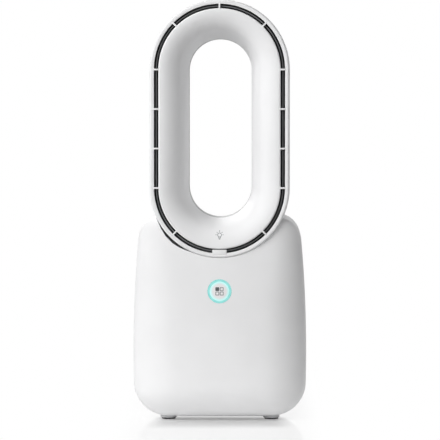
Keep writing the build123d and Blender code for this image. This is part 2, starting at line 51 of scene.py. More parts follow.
# ---- sizes and colours that a user would change ----
def length(name, description, default):
    return FloatProperty(name=name, description=description, default=default, unit="LENGTH", precision=5)


def number(name, description, default, subtype="NONE"):
    return FloatProperty(name=name, description=description, default=default, subtype=subtype)


def place_of(name, description, default):
    return FloatVectorProperty(name=name, description=description, default=default, subtype="XYZ")


def colour(name, description, default):
    settings = {"size": 3, "min": 0, "max": 1, "subtype": "COLOR"}
    return FloatVectorProperty(name=name, description=description, default=default, **settings)


class LoopSizes(bpy.types.PropertyGroup):
    low_z: length("Lower centre", "Height of the centre of the lower half circle", 0.194)
    straight: length("Straight sides", "Length of the upright sides", 0.0978)
    radius: length("Outside", "Greatest outside radius", 0.05817)
    rim: length("Rim", "Outside radius at the front edge", 0.0576)
    rim_depth: length("Rim depth", "Depth over which the rim widens", 0.010)
    slot_outer: length("Slot outside", "Outer radius of the air slot", 0.0541)
    slot_inner: length("Slot inside", "Inner radius of the air slot", 0.0505)
    bore: length("Bore", "Radius of the way through", 0.0264)
    front_y: length("Front", "Place of the front edge", -0.0495)
    back_y: length("Back", "Place of the back", 0.0355)
    throat_y: length("Throat", "Place where the flare meets its tube", -0.0015)
    seam_y: length("Seam", "Place of the seam in the bore", 0.0125)
    wall: length("Wall", "Thickness of the shells", 0.002)
    flare_arc: length("Flare arc", "Radius of the flare's arc next to the slot", 0.019)
    lip_round: length("Lip rounding", "Rounding of the flare's front edge", 0.0012)
    rim_round: length("Rim rounding", "Rounding of the rim's front edge", 0.0015)
    rim_tilt: length("Rim tilt", "How far the rim's front edge lies back at the slot", 0.0005)
    slope: length("Back slope", "How far the outside slopes in at the back", 0.007)
    slope_depth: length("Back slope depth", "Length of the part that slopes in", 0.018)
    rib: length("Rib", "Width of the bars across the slot", 0.0014)
    rib_depth: length("Rib depth", "Depth of the bars across the slot", 0.003)
    tab: length("Tab", "Width of the tab at the foot of the slot", 0.012)
    tab_gap: length("Tab gap", "Gap between the tab and the flare", 0.0006)


class BaseSizes(bpy.types.PropertyGroup):
    half_width: length("Half width", "Greatest half width", 0.0721)
    widest_z: length("Widest", "Height of the greatest width", 0.058)
    swell: number("Swell", "How fast the sides draw in", 0.495)
    half_depth: length("Half depth", "Greatest half depth", 0.05198)
    lean_from: length("Lean from", "Height from which front and back lean", 0.0335)
    lean: number("Lean", "Lean of front and back", radians(1.9), "ANGLE")
    bow: length("Front bow", "Radius of the front seen from above", 0.5)
    corner: length("Corner", "Radius of the upright corners", 0.030)
    long: number("Corner across", "Width of a corner, as a share of its radius", 1.15)
    shallow: number("Corner along", "Depth of a corner, as a share of its radius", 0.68)
    tighten: number("Tighten", "How fast the corners tighten above the key", 0.16)
    foot: length("Foot rounding", "Radius of the lower edge", 0.028)
    crown: length("Shoulder rounding", "Radius of the shoulders", 0.0192)
    ear_soft: length("Ear rounding", "Rounding of the shoulders' front and back edges", 0.005)
    underside: length("Underside", "Height of the underside", 0.0025)
    top: length("Top", "Height of the shoulders", 0.1695)
    saddle: length("Saddle", "Radius of the saddle", 0.0583)
    edge: length("Saddle edge", "Rounding of the saddle's edge", 0.0010)
    taper: length("Saddle taper", "How much narrower the saddle is at its front edge", 0.0004)
    gap: length("Gap", "Greatest width of the open gap at the lower left of the loop", 0.0019)
    wall: length("Wall", "Thickness of the shells", 0.0025)
    parting: length("Parting", "Place of the seam between the shells", 0.010)


class DetailSizes(bpy.types.PropertyGroup):
    key_z: length("Key height", "Height of the touch key", 0.1086)
    ring: length("Light ring", "Outside radius of the light ring", 0.0099)
    ring_width: length("Light ring width", "Width of the light ring", 0.0018)
    key_sign: length("Key sign", "Width of the sign on the key", 0.0068)
    lamp_sign_z: length("Lamp sign height", "Height of the lamp sign's round part", 0.1551)
    lamp_sign: length("Lamp sign", "Radius of the lamp sign's round part", 0.0016)
    foot_x: length("Foot across", "Distance of the feet from the middle, across", 0.043)
    foot_y: length("Foot along", "Distance of the feet from the middle, front to back", 0.021)
    foot: length("Foot", "Radius of a rubber foot", 0.0068)
    window: length("Window", "Side of the back window", 0.070)
    window_round: length("Window rounding", "Corner radius of the back window", 0.010)
    window_z: length("Window height", "Height of the middle of the back window", 0.069)
    seat_y: length("Cover seat", "Place of the cover's inner side", 0.047)


class FinishColours(bpy.types.PropertyGroup):
    shell: colour("Shell", "White shell plastic", (0.83, 0.83, 0.835))
    # Painted shade: the slot's walls and the loop's hollow are white plastic like the shell, and this dark grey
    # stands in for the shade deep in the narrow slot
    slot: colour("Slot", "Dark inside of the air slot", (0.23, 0.23, 0.235))
    # Painted shade: the vane sits deep in the slot, and its dark grey stands in for the shade there; the impeller
    # shares it
    guide: colour("Guide", "Vane in the slot", (0.20, 0.20, 0.205))
    light: colour("Light ring", "Lit ring round the key", (0.115, 0.68, 0.65))
    collar: colour("Foot collar", "Pale upper part of a foot", (0.60, 0.60, 0.61))
    sign: colour("Sign", "Printed signs", (0.22, 0.23, 0.24))
    sign_dark: colour("Dark sign", "Filled square of the key's sign", (0.07, 0.075, 0.08))
    rubber: colour("Rubber", "Feet and isolators", (0.035, 0.035, 0.037))
    steel: colour("Steel", "Screws, shaft, motor can", (0.56, 0.565, 0.58))
    board: colour("Board", "Circuit boards", (0.02, 0.16, 0.06))
    inner: colour("Inner plastic", "Blower and battery tray", (0.11, 0.115, 0.125))
    sleeve: colour("Sleeve", "Battery sleeve", (0.05, 0.14, 0.42))
    foam: colour("Foam", "Intake filter", (0.33, 0.33, 0.32))
    diffuser: colour("Diffuser", "Light bars", (0.88, 0.8, 0.58))


class StageSizes(bpy.types.PropertyGroup):
    lens: number("Lens", "Focal length in millimetres", 236.0)
    camera_at: place_of("Camera", "Place of the camera", (0.034, -2.43, 0.268))
    aim_at: place_of("Aim", "Point that the camera looks at", (0, -0.02, 0.1664))
    key_power: number("Key light", "Power in watts", 23.2)
    fill_power: number("Fill light", "Power in watts", 4.6)
    rim_power: number("Rim light", "Power in watts", 3.4)
    back_power: number("Back light", "Power in watts", 10.0)
    sky: number("Sky", "Strength of the even light", 0.09)


class Settings:
    """One group of the scene's settings, read when it is used."""

    def __init__(self, group):
        self.group = group

    def __getattr__(self, name):
        return getattr(getattr(bpy.context.scene, self.group), name)


loop, base, details = Settings("fan_loop"), Settings("fan_base"), Settings("fan_details")
hues, stage = Settings("fan_colours"), Settings("fan_stage")


# ---- finishes ----
RING_LAMPS = 8.0  # lamps under the ring round the key
STRIP_LAMPS = 900.0  # turns of the lamps' wave along a metre of a light bar
CONTROL_PARTS_X = 0.0565  # the control board's parts stand on the side below this place


def maths(operation, flipped=False):
    """A method that adds the Math node of an operation. Flipped, the other value comes first."""
    if flipped:
        return lambda self, other: self.reckon(operation, other, self)
    return lambda self, *others: self.reckon(operation, self, *others)


class Flow:
    """A number that runs through a finish's nodes and can be reckoned with like any number."""

    def __init__(self, finish, socket):
        self.finish = finish
        self.socket = socket

    def reckon(self, operation, *values):
        return self.finish.flow("ShaderNodeMath", {"operation": operation}, dict(enumerate(values)))

    __add__, __radd__ = maths("ADD"), maths("ADD", True)
    __sub__, __rsub__ = maths("SUBTRACT"), maths("SUBTRACT", True)
    __mul__, __rmul__ = maths("MULTIPLY"), maths("MULTIPLY", True)
    __pow__, __gt__, __abs__ = maths("POWER"), maths("GREATER_THAN"), maths("ABSOLUTE")
    larger, turn_from, cosine = maths("MAXIMUM"), maths("ARCTAN2"), maths("COSINE")

    def fade(self, low, high):
        """0 at low, 1 at high, smooth between."""
        values = {"Value": self, "From Min": low, "From Max": high}
        return self.finish.flow("ShaderNodeMapRange", {"interpolation_type": "SMOOTHSTEP"}, values)


class Finish:
    """One material, or the world's, built from nodes."""

    def __init__(self, name, tree=None):
        if tree is None:
            self.material = bpy.data.materials.new(name)
            self.material.use_nodes = True
            tree = self.material.node_tree
        self.tree = tree
        self.shader = tree.nodes.get("Principled BSDF")

    def node(self, kind, settings=None, values=None):
        """A node of that type, with its settings, and the values or links of its sockets."""
        node = self.tree.nodes.new(kind)
        for key, value in (settings or {}).items():
            setattr(node, key, value)
        for key, value in (values or {}).items():
            self.put(node.inputs[key], value)
        return node

    def flow(self, kind, settings=None, values=None):
        return Flow(self, self.node(kind, settings, values).outputs[0])

    def put(self, socket, value):
        if isinstance(value, Flow):
            value = value.socket
        if isinstance(value, bpy.types.NodeSocket):
            self.tree.links.new(value, socket)
        elif socket.type == "RGBA" and len(value) == 3:
            socket.default_value = (*value, 1.0)
        else:
            socket.default_value = value

    def place(self):
        return self.node("ShaderNodeTexCoord").outputs["Object"]

    def parts(self):
        """How far across, along and up the place is."""
        split = self.node("ShaderNodeSeparateXYZ", None, {"Vector": self.place()})
        return [Flow(self, split.outputs[k]) for k in range(3)]

    def noise(self, scale, detail=2.0, rough=0.5, stretch=None):
        at = self.place()
        if stretch:
            at = self.node("ShaderNodeVectorMath", {"operation": "MULTIPLY"}, {0: at, 1: stretch}).outputs[0]
        values = {"Vector": at, "Scale": scale, "Detail": detail, "Roughness": rough}
        return self.flow("ShaderNodeTexNoise", None, values)

    def cells(self, scale, feature="F1"):
        return self.flow("ShaderNodeTexVoronoi", {"feature": feature}, {"Vector": self.place(), "Scale": scale})

    def blend(self, share, first, second):
        """A colour between two colours."""
        return self.node("ShaderNodeMix", {"data_type": "RGBA"}, {0: share, 6: first, 7: second}).outputs[2]

    def shades(self, share, hue, low, high):
        """A colour between two shades of a colour."""
        return self.blend(share, tint(hue, low), tint(hue, high))

    def bump(self, height, strength, distance):
        values = {"Height": height, "Strength": strength, "Distance": distance}
        return self.node("ShaderNodeBump", None, values).outputs["Normal"]

    def from_key(self):
        """How far across, up and out the place is from the middle of the key."""
        x, _, z = self.parts()
        up = z - details.key_z
        return x, up, (x * x + up * up) ** 0.5

    def seen(self):
        """1 for rays that come straight from the camera or by way of a mirror or glass."""
        path = self.node("ShaderNodeLightPath")
        rays = ("Is Camera Ray", "Is Glossy Ray", "Is Transmission Ray")
        camera, glossy, through = (Flow(self, path.outputs[ray]) for ray in rays)
        return camera.larger(glossy).larger(through)

    def show_mix(self, output, share, first, second):
        """Sends a mix of two shaders to the tree's output."""
        mixed = self.node("ShaderNodeMixShader", None, {0: share, 1: first, 2: second})
        self.put(self.tree.nodes[output].inputs["Surface"], mixed.outputs[0])

    def dress(self, **values):
        """Sets the shader's own sockets by name, with _ for a space, and gives back the material."""
        for key, value in values.items():
            self.put(self.shader.inputs[key.replace("_", " ")], value)
        return self.material


def tint(hue, factor):
    return tuple(min(part * factor, 1.0) for part in hue)


def moulded(name, hue, rough=0.44, grain=0.12, coarse=1400.0):
    """Injection moulded plastic: fine spark grain, faint flow mottling, slightly uneven gloss."""
    finish = Finish(name)
    mottle = finish.noise(28.0, 3.0)
    grains = finish.noise(coarse, 2.0, 0.6)
    ripple = finish.noise(60.0, 1.0)
    return finish.dress(
        Base_Color=finish.shades(mottle.fade(0.3, 0.7), hue, 0.985, 1.012),
        Roughness=rough + 0.07 * (ripple - 0.5) + 0.05 * (grains - 0.5),
        Normal=finish.bump(grains, grain, 0.00004),
        IOR=1.2,
    )


def lit_ring(name, hue, white):
    """Clear diffuser over a ring of lamps: evenly bright, a little lighter over each lamp and at its inner edge."""
    finish = Finish(name)
    x, up, radius = finish.from_key()
    lamps = (x.turn_from(up) * RING_LAMPS).cosine()
    inner = 1.0 - radius.fade(0.0079, 0.0088)
    share = 0.3 + 0.05 * lamps + 0.2 * inner
    return finish.dress(
        Base_Color=finish.blend(share, tint(hue, 0.35), tint(white, 0.4)),
        Emission_Color=finish.blend(share, hue, white),
        Emission_Strength=0.6,
        Roughness=0.25,
    )


def lit_key(name, hue, glow):
    """White key cap with the ring's light spilling over its border."""
    finish = Finish(name)
    radius = finish.from_key()[2]
    spill = radius.fade(0.0048, 0.0080) ** 1.6
    grains = finish.noise(1500.0)
    return finish.dress(
        Base_Color=finish.blend(0.35 * spill, hue, tint(glow, 1.25)),
        Emission_Color=finish.blend(spill, (0, 0, 0), tint(glow, 1.1)),
        Emission_Strength=0.28,
        Roughness=0.2 + 0.06 * grains,
        Normal=finish.bump(grains, 0.06, 0.00003),
    )


def printed(name, hue):
    """Pad printed ink: slightly rough, with tiny pinholes."""
    finish = Finish(name)
    specks = finish.noise(5200.0, 1.0)
    return finish.dress(
        Base_Color=finish.shades(specks.fade(0.62, 0.8), hue, 1.0, 1.5),
        Roughness=0.5 + 0.1 * specks,
        Normal=finish.bump(specks, 0.1, 0.00002),
    )


def rubber(name, hue):
    """Matt rubber with a fine grain and a little dust."""
    finish = Finish(name)
    grains = finish.noise(2600.0, 3.0, 0.7)
    dust = finish.noise(190.0, 4.0)
    return finish.dress(
        Base_Color=finish.shades(dust.fade(0.52, 0.8), hue, 1.0, 2.2),
        Roughness=0.78 + 0.14 * (grains - 0.5),
        Normal=finish.bump(grains, 0.35, 0.00008),
        IOR=1.5,
    )


def steel(name, hue, brushed=(1.0, 1.0, 1.0), rough=0.28):
    """Bright steel with fine streaks and cloudy patches."""
    finish = Finish(name)
    streaks = finish.noise(1300.0, 4.0, 0.65, brushed)
    patches = finish.noise(90.0, 3.0)
    return finish.dress(
        Base_Color=finish.shades(patches, hue, 0.9, 1.08),
        Metallic=1.0,
        Roughness=rough + 0.16 * (streaks - 0.5) + 0.08 * (patches - 0.5),
        Normal=finish.bump(streaks, 0.12, 0.00003),
    )


def circuit_board(name, hue, parts_below=None):
    """Solder-masked board with faint tracks and round pads. Its parts are dark."""
    finish = Finish(name)
    bricks = {"Vector": finish.place(), "Scale": 190.0, "Mortar Size": 0.05, "Row Height": 0.4, "Brick Width": 1.6}
    tracks = Flow(finish, finish.node("ShaderNodeTexBrick", {"offset": 0.35}, bricks).outputs["Fac"])
    pads = 1.0 - finish.cells(260.0).fade(0.1, 0.16)
    body = finish.blend(pads * 0.8, finish.shades(tracks, hue, 1.0, 1.8), (0.62, 0.6, 0.5))
    height = tracks + pads
    if parts_below is not None:
        parts = parts_below - finish.parts()[0] > 0.0
        body = finish.blend(parts, body, (0.018, 0.018, 0.02))
        height = height * (1.0 - parts)
    return finish.dress(Base_Color=body, Roughness=0.35 + 0.2 * pads, Normal=finish.bump(height, 0.25, 0.00005))


def shrink_sleeve(name, hue):
    """Shrunk film with fine wrinkles along it."""
    finish = Finish(name)
    wrinkles = finish.noise(420.0, 3.0, stretch=(0.25, 1.0, 1.0))
    cloud = finish.noise(60.0)
    return finish.dress(
        Base_Color=finish.shades(cloud, hue, 0.88, 1.15),
        Roughness=0.22 + 0.12 * wrinkles,
        Normal=finish.bump(wrinkles, 0.3, 0.00012),
    )


def open_foam(name, hue):
    """Reticulated foam: light struts, with painted shade in the pores between them."""
    finish = Finish(name)
    strut = 1.0 - finish.cells(950.0, "DISTANCE_TO_EDGE").fade(0.02, 0.2)
    cloud = finish.noise(120.0)
    return finish.dress(
        Base_Color=finish.blend(strut, tint(hue, 0.16), finish.shades(cloud, hue, 0.9, 1.1)),
        Roughness=0.92,
        Normal=finish.bump(strut, 0.9, 0.0003),
    )


def diffuser(name, hue):
    """Milky strip with a row of lamps showing faintly through it."""
    finish = Finish(name)
    lamps = (finish.parts()[2] * STRIP_LAMPS).cosine()
    grains = finish.noise(1800.0)
    return finish.dress(
        Base_Color=finish.shades(lamps.fade(0.2, 1.0), hue, 0.9, 1.12),
        Roughness=0.45 + 0.1 * grains,
        Normal=finish.bump(grains, 0.1, 0.00004),
    )


def finish_named(kind):
    """The finished material of that kind, made once. A moulded finish lists gloss, grain depth and grain scale."""
    name = "finish_" + kind
    if name in bpy.data.materials:
        return bpy.data.materials[name]
    maker, hue, *more = {
        "shell": (moulded, hues.shell),
        # Painted shade: a darker copy of the shell for its inside faces and recesses, such as the screw wells and the
        # window's ledge
        "shell_inside": (moulded, tint(hues.shell, 0.8), 0.5, 0.3),
        # Painted shade: a darker copy of the shell for the bore's tube behind the flare's throat
        "bore": (moulded, tint(hues.shell, 0.58), 0.45, 0.25),
        # Painted shade: the slot's walls and the loop's hollow, dark in place of the shade in the slot
        "slot": (moulded, hues.slot, 0.6, 0.3, 1800.0),
        # Painted shade: the vane in the slot, dark in place of the shade around it
        "guide": (moulded, hues.guide, 0.55, 0.25, 1800.0),
        "inner": (moulded, hues.inner, 0.48, 0.35, 900.0),
        "collar": (moulded, hues.collar, 0.5, 0.3),
        "light": (lit_ring, hues.light, (0.72, 0.97, 0.95)),
        "key": (lit_key, hues.shell, hues.light),
        "sign": (printed, hues.sign),
        "sign_dark": (printed, hues.sign_dark),
        "rubber": (rubber, hues.rubber),
        "steel": (steel, hues.steel),
        "turned_steel": (steel, tint(hues.steel, 0.95), (1.0, 1.0, 14.0), 0.24),
        "board": (circuit_board, hues.board),
        "control": (circuit_board, hues.board, CONTROL_PARTS_X),
        "sleeve": (shrink_sleeve, hues.sleeve),
        "foam": (open_foam, hues.foam),
        "diffuser": (diffuser, hues.diffuser),
    }[kind]
    return maker(name, hue, *more)


# ---- mesh helpers ----
CREASE = radians(38)  # edges that turn by more are shaded crisp
ARC_STEP = radians(14)  # longest step of a rounding
HALF_CIRCLE, SIDE = 56, 8  # steps of the oval's half circles and sides
AXIS_RADIUS = 1e-6  # stands for 0, so that a ring on the axis keeps its points until they are merged


def add_object(name, data):
    holder = bpy.data.objects.new(name, data)
    bpy.context.scene.collection.objects.link(holder)
    return holder


def opened(mesh):
    bm = bmesh.new()
    bm.from_mesh(mesh)
    return bm


def put_back(bm, mesh):
    bm.to_mesh(mesh)
    bm.free()
    return mesh


def put_in(bm, name):
    return put_back(bm, bpy.data.meshes.new(name))


def soften(mesh):
    mesh.shade_smooth()
    mesh.set_sharp_from_angle(angle=CREASE)
    return mesh


def give(mesh, finishes, zones=None):
    """Gives a mesh its finishes, and each face the one of its zone."""
    for kind in finishes:
        mesh.materials.append(finish_named(kind))
    if zones:
        mesh.polygons.foreach_set("material_index", zones)
    return mesh


def mesh_of(name, points, faces, finishes, zones=None):
    mesh = bpy.data.meshes.new(name)
    mesh.from_pydata(points, [], faces)
    return give(mesh, finishes, zones)


def mesh_from(bm, name, finishes):
    bmesh.ops.recalc_face_normals(bm, faces=bm.faces)
    return soften(give(put_in(bm, name), finishes))


def arc_at(before, corner, after, radius):
    """The rounding of one corner of an outline, as points."""
    corner = Vector(corner)
    back = (Vector(before) - corner).normalized()
    ahead = (Vector(after) - corner).normalized()
    opening = acos(max(-1.0, min(1.0, back.dot(ahead))))
    reach = radius / tan(opening / 2)
    centre = corner + (back + ahead).normalized() * (radius / sin(opening / 2))
    start = corner + back * reach - centre
    end = corner + ahead * reach - centre
    turn = (atan2(end.y, end.x) - atan2(start.y, start.x) + pi) % (2 * pi) - pi
    steps = max(2, ceil(abs(turn) / ARC_STEP))
    return [tuple(centre + Matrix.Rotation(turn * step / steps, 2) @ start) for step in range(steps + 1)]


def rounded(corners):
    """An outline and the zone of each side, from corners of (across, along), then rounding and zone if not 0."""
    corners = [(*corner, 0, 0)[:4] for corner in corners]
    points, zones = [], []
    for k, (across, along, rounding, zone) in enumerate(corners):
        arc = [(across, along)]
        if rounding:
            after = corners[(k + 1) % len(corners)]
            arc = arc_at(corners[k - 1][:2], (across, along), after[:2], rounding)
        points += arc
        zones += [zone] * len(arc)
    return points, zones


def carried_mesh(name, rings, zones, finishes):
    """Faces through rings of equally many points, closed both ways. Each side of a ring has its zone."""
    count = len(rings[0])
    faces, kinds = [], []
    for ring in range(len(rings)):
        here, there = ring * count, (ring + 1) % len(rings) * count
        for k in range(count):
            ahead = (k + 1) % count
            faces.append((here + k, here + ahead, there + ahead, there + k))
            kinds.append(zones[k])
    mesh = mesh_of(name, [point for ring in rings for point in ring], faces, finishes, kinds)
    bm = opened(mesh)
    bmesh.ops.recalc_face_normals(bm, faces=bm.faces)
    return soften(put_back(bm, mesh))


def oval_stations():
    """Directions and centres once round the upright oval."""
    high_z = loop.low_z + loop.straight
    turns = [pi * k / HALF_CIRCLE for k in range(HALF_CIRCLE + 1)]
    rises = [loop.straight * k / SIDE for k in range(1, SIDE)]
    stations = [(cos(turn - pi), sin(turn - pi), loop.low_z) for turn in turns]
    stations += [(1.0, 0.0, loop.low_z + rise) for rise in rises]
    stations += [(cos(turn), sin(turn), high_z) for turn in turns]
    return stations + [(-1.0, 0.0, high_z - rise) for rise in rises]


def round_the_oval(name, corners, finishes):
    """An outline of (radius, Y) carried once round the oval."""
    outline, zones = rounded(corners)
    rings = [[(r * dx, y, z + r * dz) for r, y in outline] for dx, dz, z in oval_stations()]
    return carried_mesh(name, rings, zones, finishes)


def turned(name, corners, finishes, place, steps=40):
    """A closed outline of (radius, height) turned about the Z axis of a place."""
    outline, zones = rounded(corners)
    outline = [(max(r, AXIS_RADIUS), h) for r, h in outline]
    angles = [2 * pi * step / steps for step in range(steps)]
    rings = [[place @ Vector((r * cos(turn), r * sin(turn), h)) for r, h in outline] for turn in angles]
    mesh = carried_mesh(name, rings, zones, finishes)
    bm = opened(mesh)
    bmesh.ops.remove_doubles(bm, verts=bm.verts, dist=4 * AXIS_RADIUS)
    return put_back(bm, mesh)


def box_into(bm, x, y, z, place=Matrix()):
    sizes = [high - low for low, high in (x, y, z)]
    middle = Vector([(high + low) / 2 for low, high in (x, y, z)])
    matrix = Matrix.Translation(middle) @ Matrix.Diagonal((*sizes, 1.0))
    bmesh.ops.create_cube(bm, size=1.0, matrix=place @ matrix)


def bevel(bm, edges, size, segments=2, clamp=True):
    rounding = {"segments": segments, "profile": 0.5, "affect": "EDGES", "clamp_overlap": clamp}
    bmesh.ops.bevel(bm, geom=edges, offset=size, **rounding)


def rounded_square(width, height, radius, steps=8):
    """Points round a rectangle with rounded corners, about the origin."""
    points = []
    for quarter, (sx, sz) in enumerate(((1, 1), (-1, 1), (-1, -1), (1, -1))):
        x, z = sx * (width / 2 - radius), sz * (height / 2 - radius)
        for k in range(steps + 1):
            angle = pi / 2 * (quarter + k / steps)
            points.append((x + radius * cos(angle), z + radius * sin(angle)))
    return points


def prism_between(bm, low, high):
    """A prism between two outlines of equally many points."""
    low, high = ([bm.verts.new(point) for point in outline] for outline in (low, high))
    bm.faces.new(low)
    bm.faces.new(high)
    for k in range(len(low)):
        ahead = (k + 1) % len(low)
        bm.faces.new((low[k], low[ahead], high[ahead], high[k]))


def prism_into(bm, outline, low, high, place=Matrix()):
    """A prism between two heights along the Z axis of a place."""
    prism_between(bm, *([place @ Vector((x, y, height)) for x, y in outline] for height in (low, high)))


def circle(radius, steps=40):
    return [(radius * cos(2 * pi * k / steps), radius * sin(2 * pi * k / steps)) for k in range(steps)]


def facing_back(z, x=0, y=0):
    """A place whose Z axis points to the back and whose Y axis points up."""
    return Matrix.Translation((x, y, z)) @ Matrix(((-1, 0, 0, 0), (0, 0, 1, 0), (0, 1, 0, 0), (0, 0, 0, 1)))


def carve(mesh, cuts, operation="DIFFERENCE"):
    """A mesh after one exact cut by everything in a bmesh."""
    bmesh.ops.recalc_face_normals(cuts, faces=cuts.faces)
    body = add_object("body_to_cut", mesh)
    cutter = add_object("cutter", put_in(cuts, "cutter"))
    change = body.modifiers.new("cut", "BOOLEAN")
    change.operation = operation
    change.solver = "EXACT"
    change.object = cutter
    bpy.context.view_layer.update()
    result = bpy.data.meshes.new_from_object(body.evaluated_get(bpy.context.evaluated_depsgraph_get()))
    bpy.data.objects.remove(body)
    bpy.data.objects.remove(cutter)
    if not result.polygons:
        raise RuntimeError("a cut left nothing of " + mesh.name)
    return result


def cut_prisms(mesh, *prisms):
    """A mesh after a cut by prisms: (outline, low, high, and a place if it isn't the origin)."""
    cuts = bmesh.new()
    for prism in prisms:
        prism_into(cuts, *prism)
    return carve(mesh, cuts)


def joined_mesh(name, *meshes):
    bm = bmesh.new()
    for mesh in meshes:
        bm.from_mesh(mesh)
    result = put_in(bm, name)
    for finish in meshes[0].materials:
        result.materials.append(finish)
    return soften(result)


def seat(name, mesh, *nodes, body="base", slot="white_shell"):
    """Places a finished mesh as a piece of a body, for the nodes that it stands for."""
    piece = add_object(name, mesh)
    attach(piece, body)
    if nodes:
        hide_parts(*nodes)


# ---- the loop ----
RIM_EDGE, SEAM_EDGE = 0.0004, 0.0002  # roundings of the rim's inner edge and of the bore's seam
SLOT_DEPTH = 0.0092  # how far the flare's outer face reaches into the slot
RIB_IN, RIB_OUT = 0.0009, 0.0005  # how far the bars reach into the flare and into the rim
BEHIND, TAB_BEHIND, TAB_DEPTH = 0.00006, 0.00004, 0.008  # the bars and the tab lie just behind the front edge
RIB_BEVEL, TAB_BEVEL = 0.00028, 0.0006
SEATS_Y, SEAT = (-0.035, 0.025), 0.0036  # places and radius of the round seats
LIP_START = radians(90 - 9)  # where the flare's arc leaves the lip's rounding
SMALL_ARC, LONG_ARC = 15, 12  # steps of the flare's arc next to the slot and of the one behind it


def flare_arcs():
    """Radius of the flare's long inner arc, and its angle where it meets the small arc next to the slot."""
    across = loop.slot_inner - loop.bore
    depth = loop.throat_y - loop.front_y
    long_arc = (across**2 + depth**2 - 2 * depth * loop.flare_arc) / (2 * (across - loop.flare_arc))
    return long_arc, asin((depth - loop.flare_arc) / (long_arc - loop.flare_arc))


def flare_point(angle, behind=0.0):
    """A point of the flare's outline, (radius, Y). The angle runs from 90 degrees at the slot to 0 at the throat."""
    long_arc, join = flare_arcs()
    if angle > join:
        reach = loop.flare_arc - behind
        return loop.slot_inner - reach * cos(angle), loop.front_y + loop.flare_arc - reach * sin(angle)
    reach = long_arc - behind
    return loop.bore + long_arc - reach * cos(angle), loop.throat_y - reach * sin(angle)


def flare_y(radius):
    """Place of the flare's face next to the slot, at a distance from the oval's line."""
    return flare_point(acos((loop.slot_inner - radius) / loop.flare_arc))[1]


def rear_shell_mesh():
    full_y = loop.front_y + loop.rim_depth
    slope_y = loop.back_y - loop.slope_depth
    narrow = loop.radius - loop.slope
    wall = loop.wall
    corners = [  # radius, place, rounding, zone
        # the slot's wall and the hollow, zone 1, take the slot's painted shade
        (loop.slot_outer, full_y, 0, 1),
        (loop.slot_outer, loop.front_y + loop.rim_tilt, RIM_EDGE),
        (loop.rim, loop.front_y, loop.rim_round),
        (loop.radius, full_y, 0.06),
        (loop.radius, slope_y, 0.03),
        (narrow, loop.back_y, 0.006),
        # the bore's tube from the back to the seam, zone 2, takes the bore's painted shade
        (loop.bore, loop.back_y, 0.005, 2),
        (loop.bore, loop.seam_y, SEAM_EDGE, 1),
        (loop.bore + wall, loop.seam_y, 0, 1),
        (loop.bore + wall, loop.back_y - wall, 0.003, 1),
        (narrow - wall, loop.back_y - wall, 0.004, 1),
        (loop.radius - wall, slope_y, 0.028, 1),
        (loop.radius - wall, full_y, 0, 1),
    ]
    return round_the_oval("loop_rear_shell_mesh", corners, ("shell", "slot", "bore"))


def flare_mesh():
    _, join = flare_arcs()
    wall = loop.wall
    # the slot's wall and the flare's hidden back, zone 1, take the slot's painted shade
    corners = [(loop.slot_inner, loop.front_y + SLOT_DEPTH, 0, 1), (loop.slot_inner, loop.front_y, loop.lip_round)]
    corners += [flare_point(LIP_START + (join - LIP_START) * k / SMALL_ARC) for k in range(SMALL_ARC)]
    corners += [flare_point(join * (1 - k / LONG_ARC)) for k in range(LONG_ARC)]
    corners += [
        # the tube from the throat to the seam, zone 2, takes the bore's painted shade
        (*flare_point(0.0), 0, 2),
        (loop.bore, loop.seam_y, SEAM_EDGE, 1),
        (loop.bore + wall, loop.seam_y, 0, 1),
    ]
    corners += [(*flare_point(turn, wall), 0, 1) for turn in (0, join / 2, join, 2 * join, 3 * join, radians(74))]
    return round_the_oval("loop_front_flare_mesh", corners, ("shell", "slot", "bore"))


def slot_ribs_mesh():
    """The short bars across the slot, and the plain tab at its foot."""
    high_z = loop.low_z + loop.straight
    reach = (loop.slot_inner - RIB_IN, loop.slot_outer + RIB_OUT)
    depth = (loop.front_y + BEHIND, loop.front_y + loop.rib_depth)
    half = loop.rib / 2
    places = [(high_z, radians(turn - 90)) for turn in (-45, 0, 45)]
    places += [(loop.low_z, radians(turn + 90)) for turn in (-45, 45)]
    places += [(loop.low_z + loop.straight * step / 3, turn) for step in range(4) for turn in (0.0, pi)]
    ribs = bmesh.new()
    for z, turn in places:
        box_into(ribs, reach, depth, (-half, half), Matrix.Translation((0, 0, z)) @ Matrix.Rotation(turn, 4, "Y"))
    bevel(ribs, list(ribs.edges), RIB_BEVEL, clamp=False)
    top = loop.low_z - loop.slot_inner - loop.tab_gap
    tab = bmesh.new()
    half = loop.tab / 2
    low = loop.low_z - (loop.slot_outer + 2 * RIB_OUT)
    box_into(tab, (-half, half), (loop.front_y + TAB_BEHIND, loop.front_y + TAB_DEPTH), (low, top))
    bevel(tab, list(tab.edges), TAB_BEVEL, 3, clamp=False)
    ribs, tab = mesh_from(ribs, "ribs_mesh", ("shell",)), mesh_from(tab, "tab_mesh", ("shell",))
    return joined_mesh("slot_ribs_mesh", ribs, tab)


def loop_seats_mesh():
    """Round seats under the loop, on the saddle's lowest line."""
    low, top = loop.low_z - base.saddle + 0.00005, loop.low_z - loop.radius + loop.wall
    corners = [(0, low), (SEAT, low, 0.0002), (SEAT, top), (0, top)]
    seats = [turned("seat_mesh", corners, ("shell",), Matrix.Translation((0, y, 0))) for y in SEATS_Y]
    return joined_mesh("loop_seats_mesh", *seats)


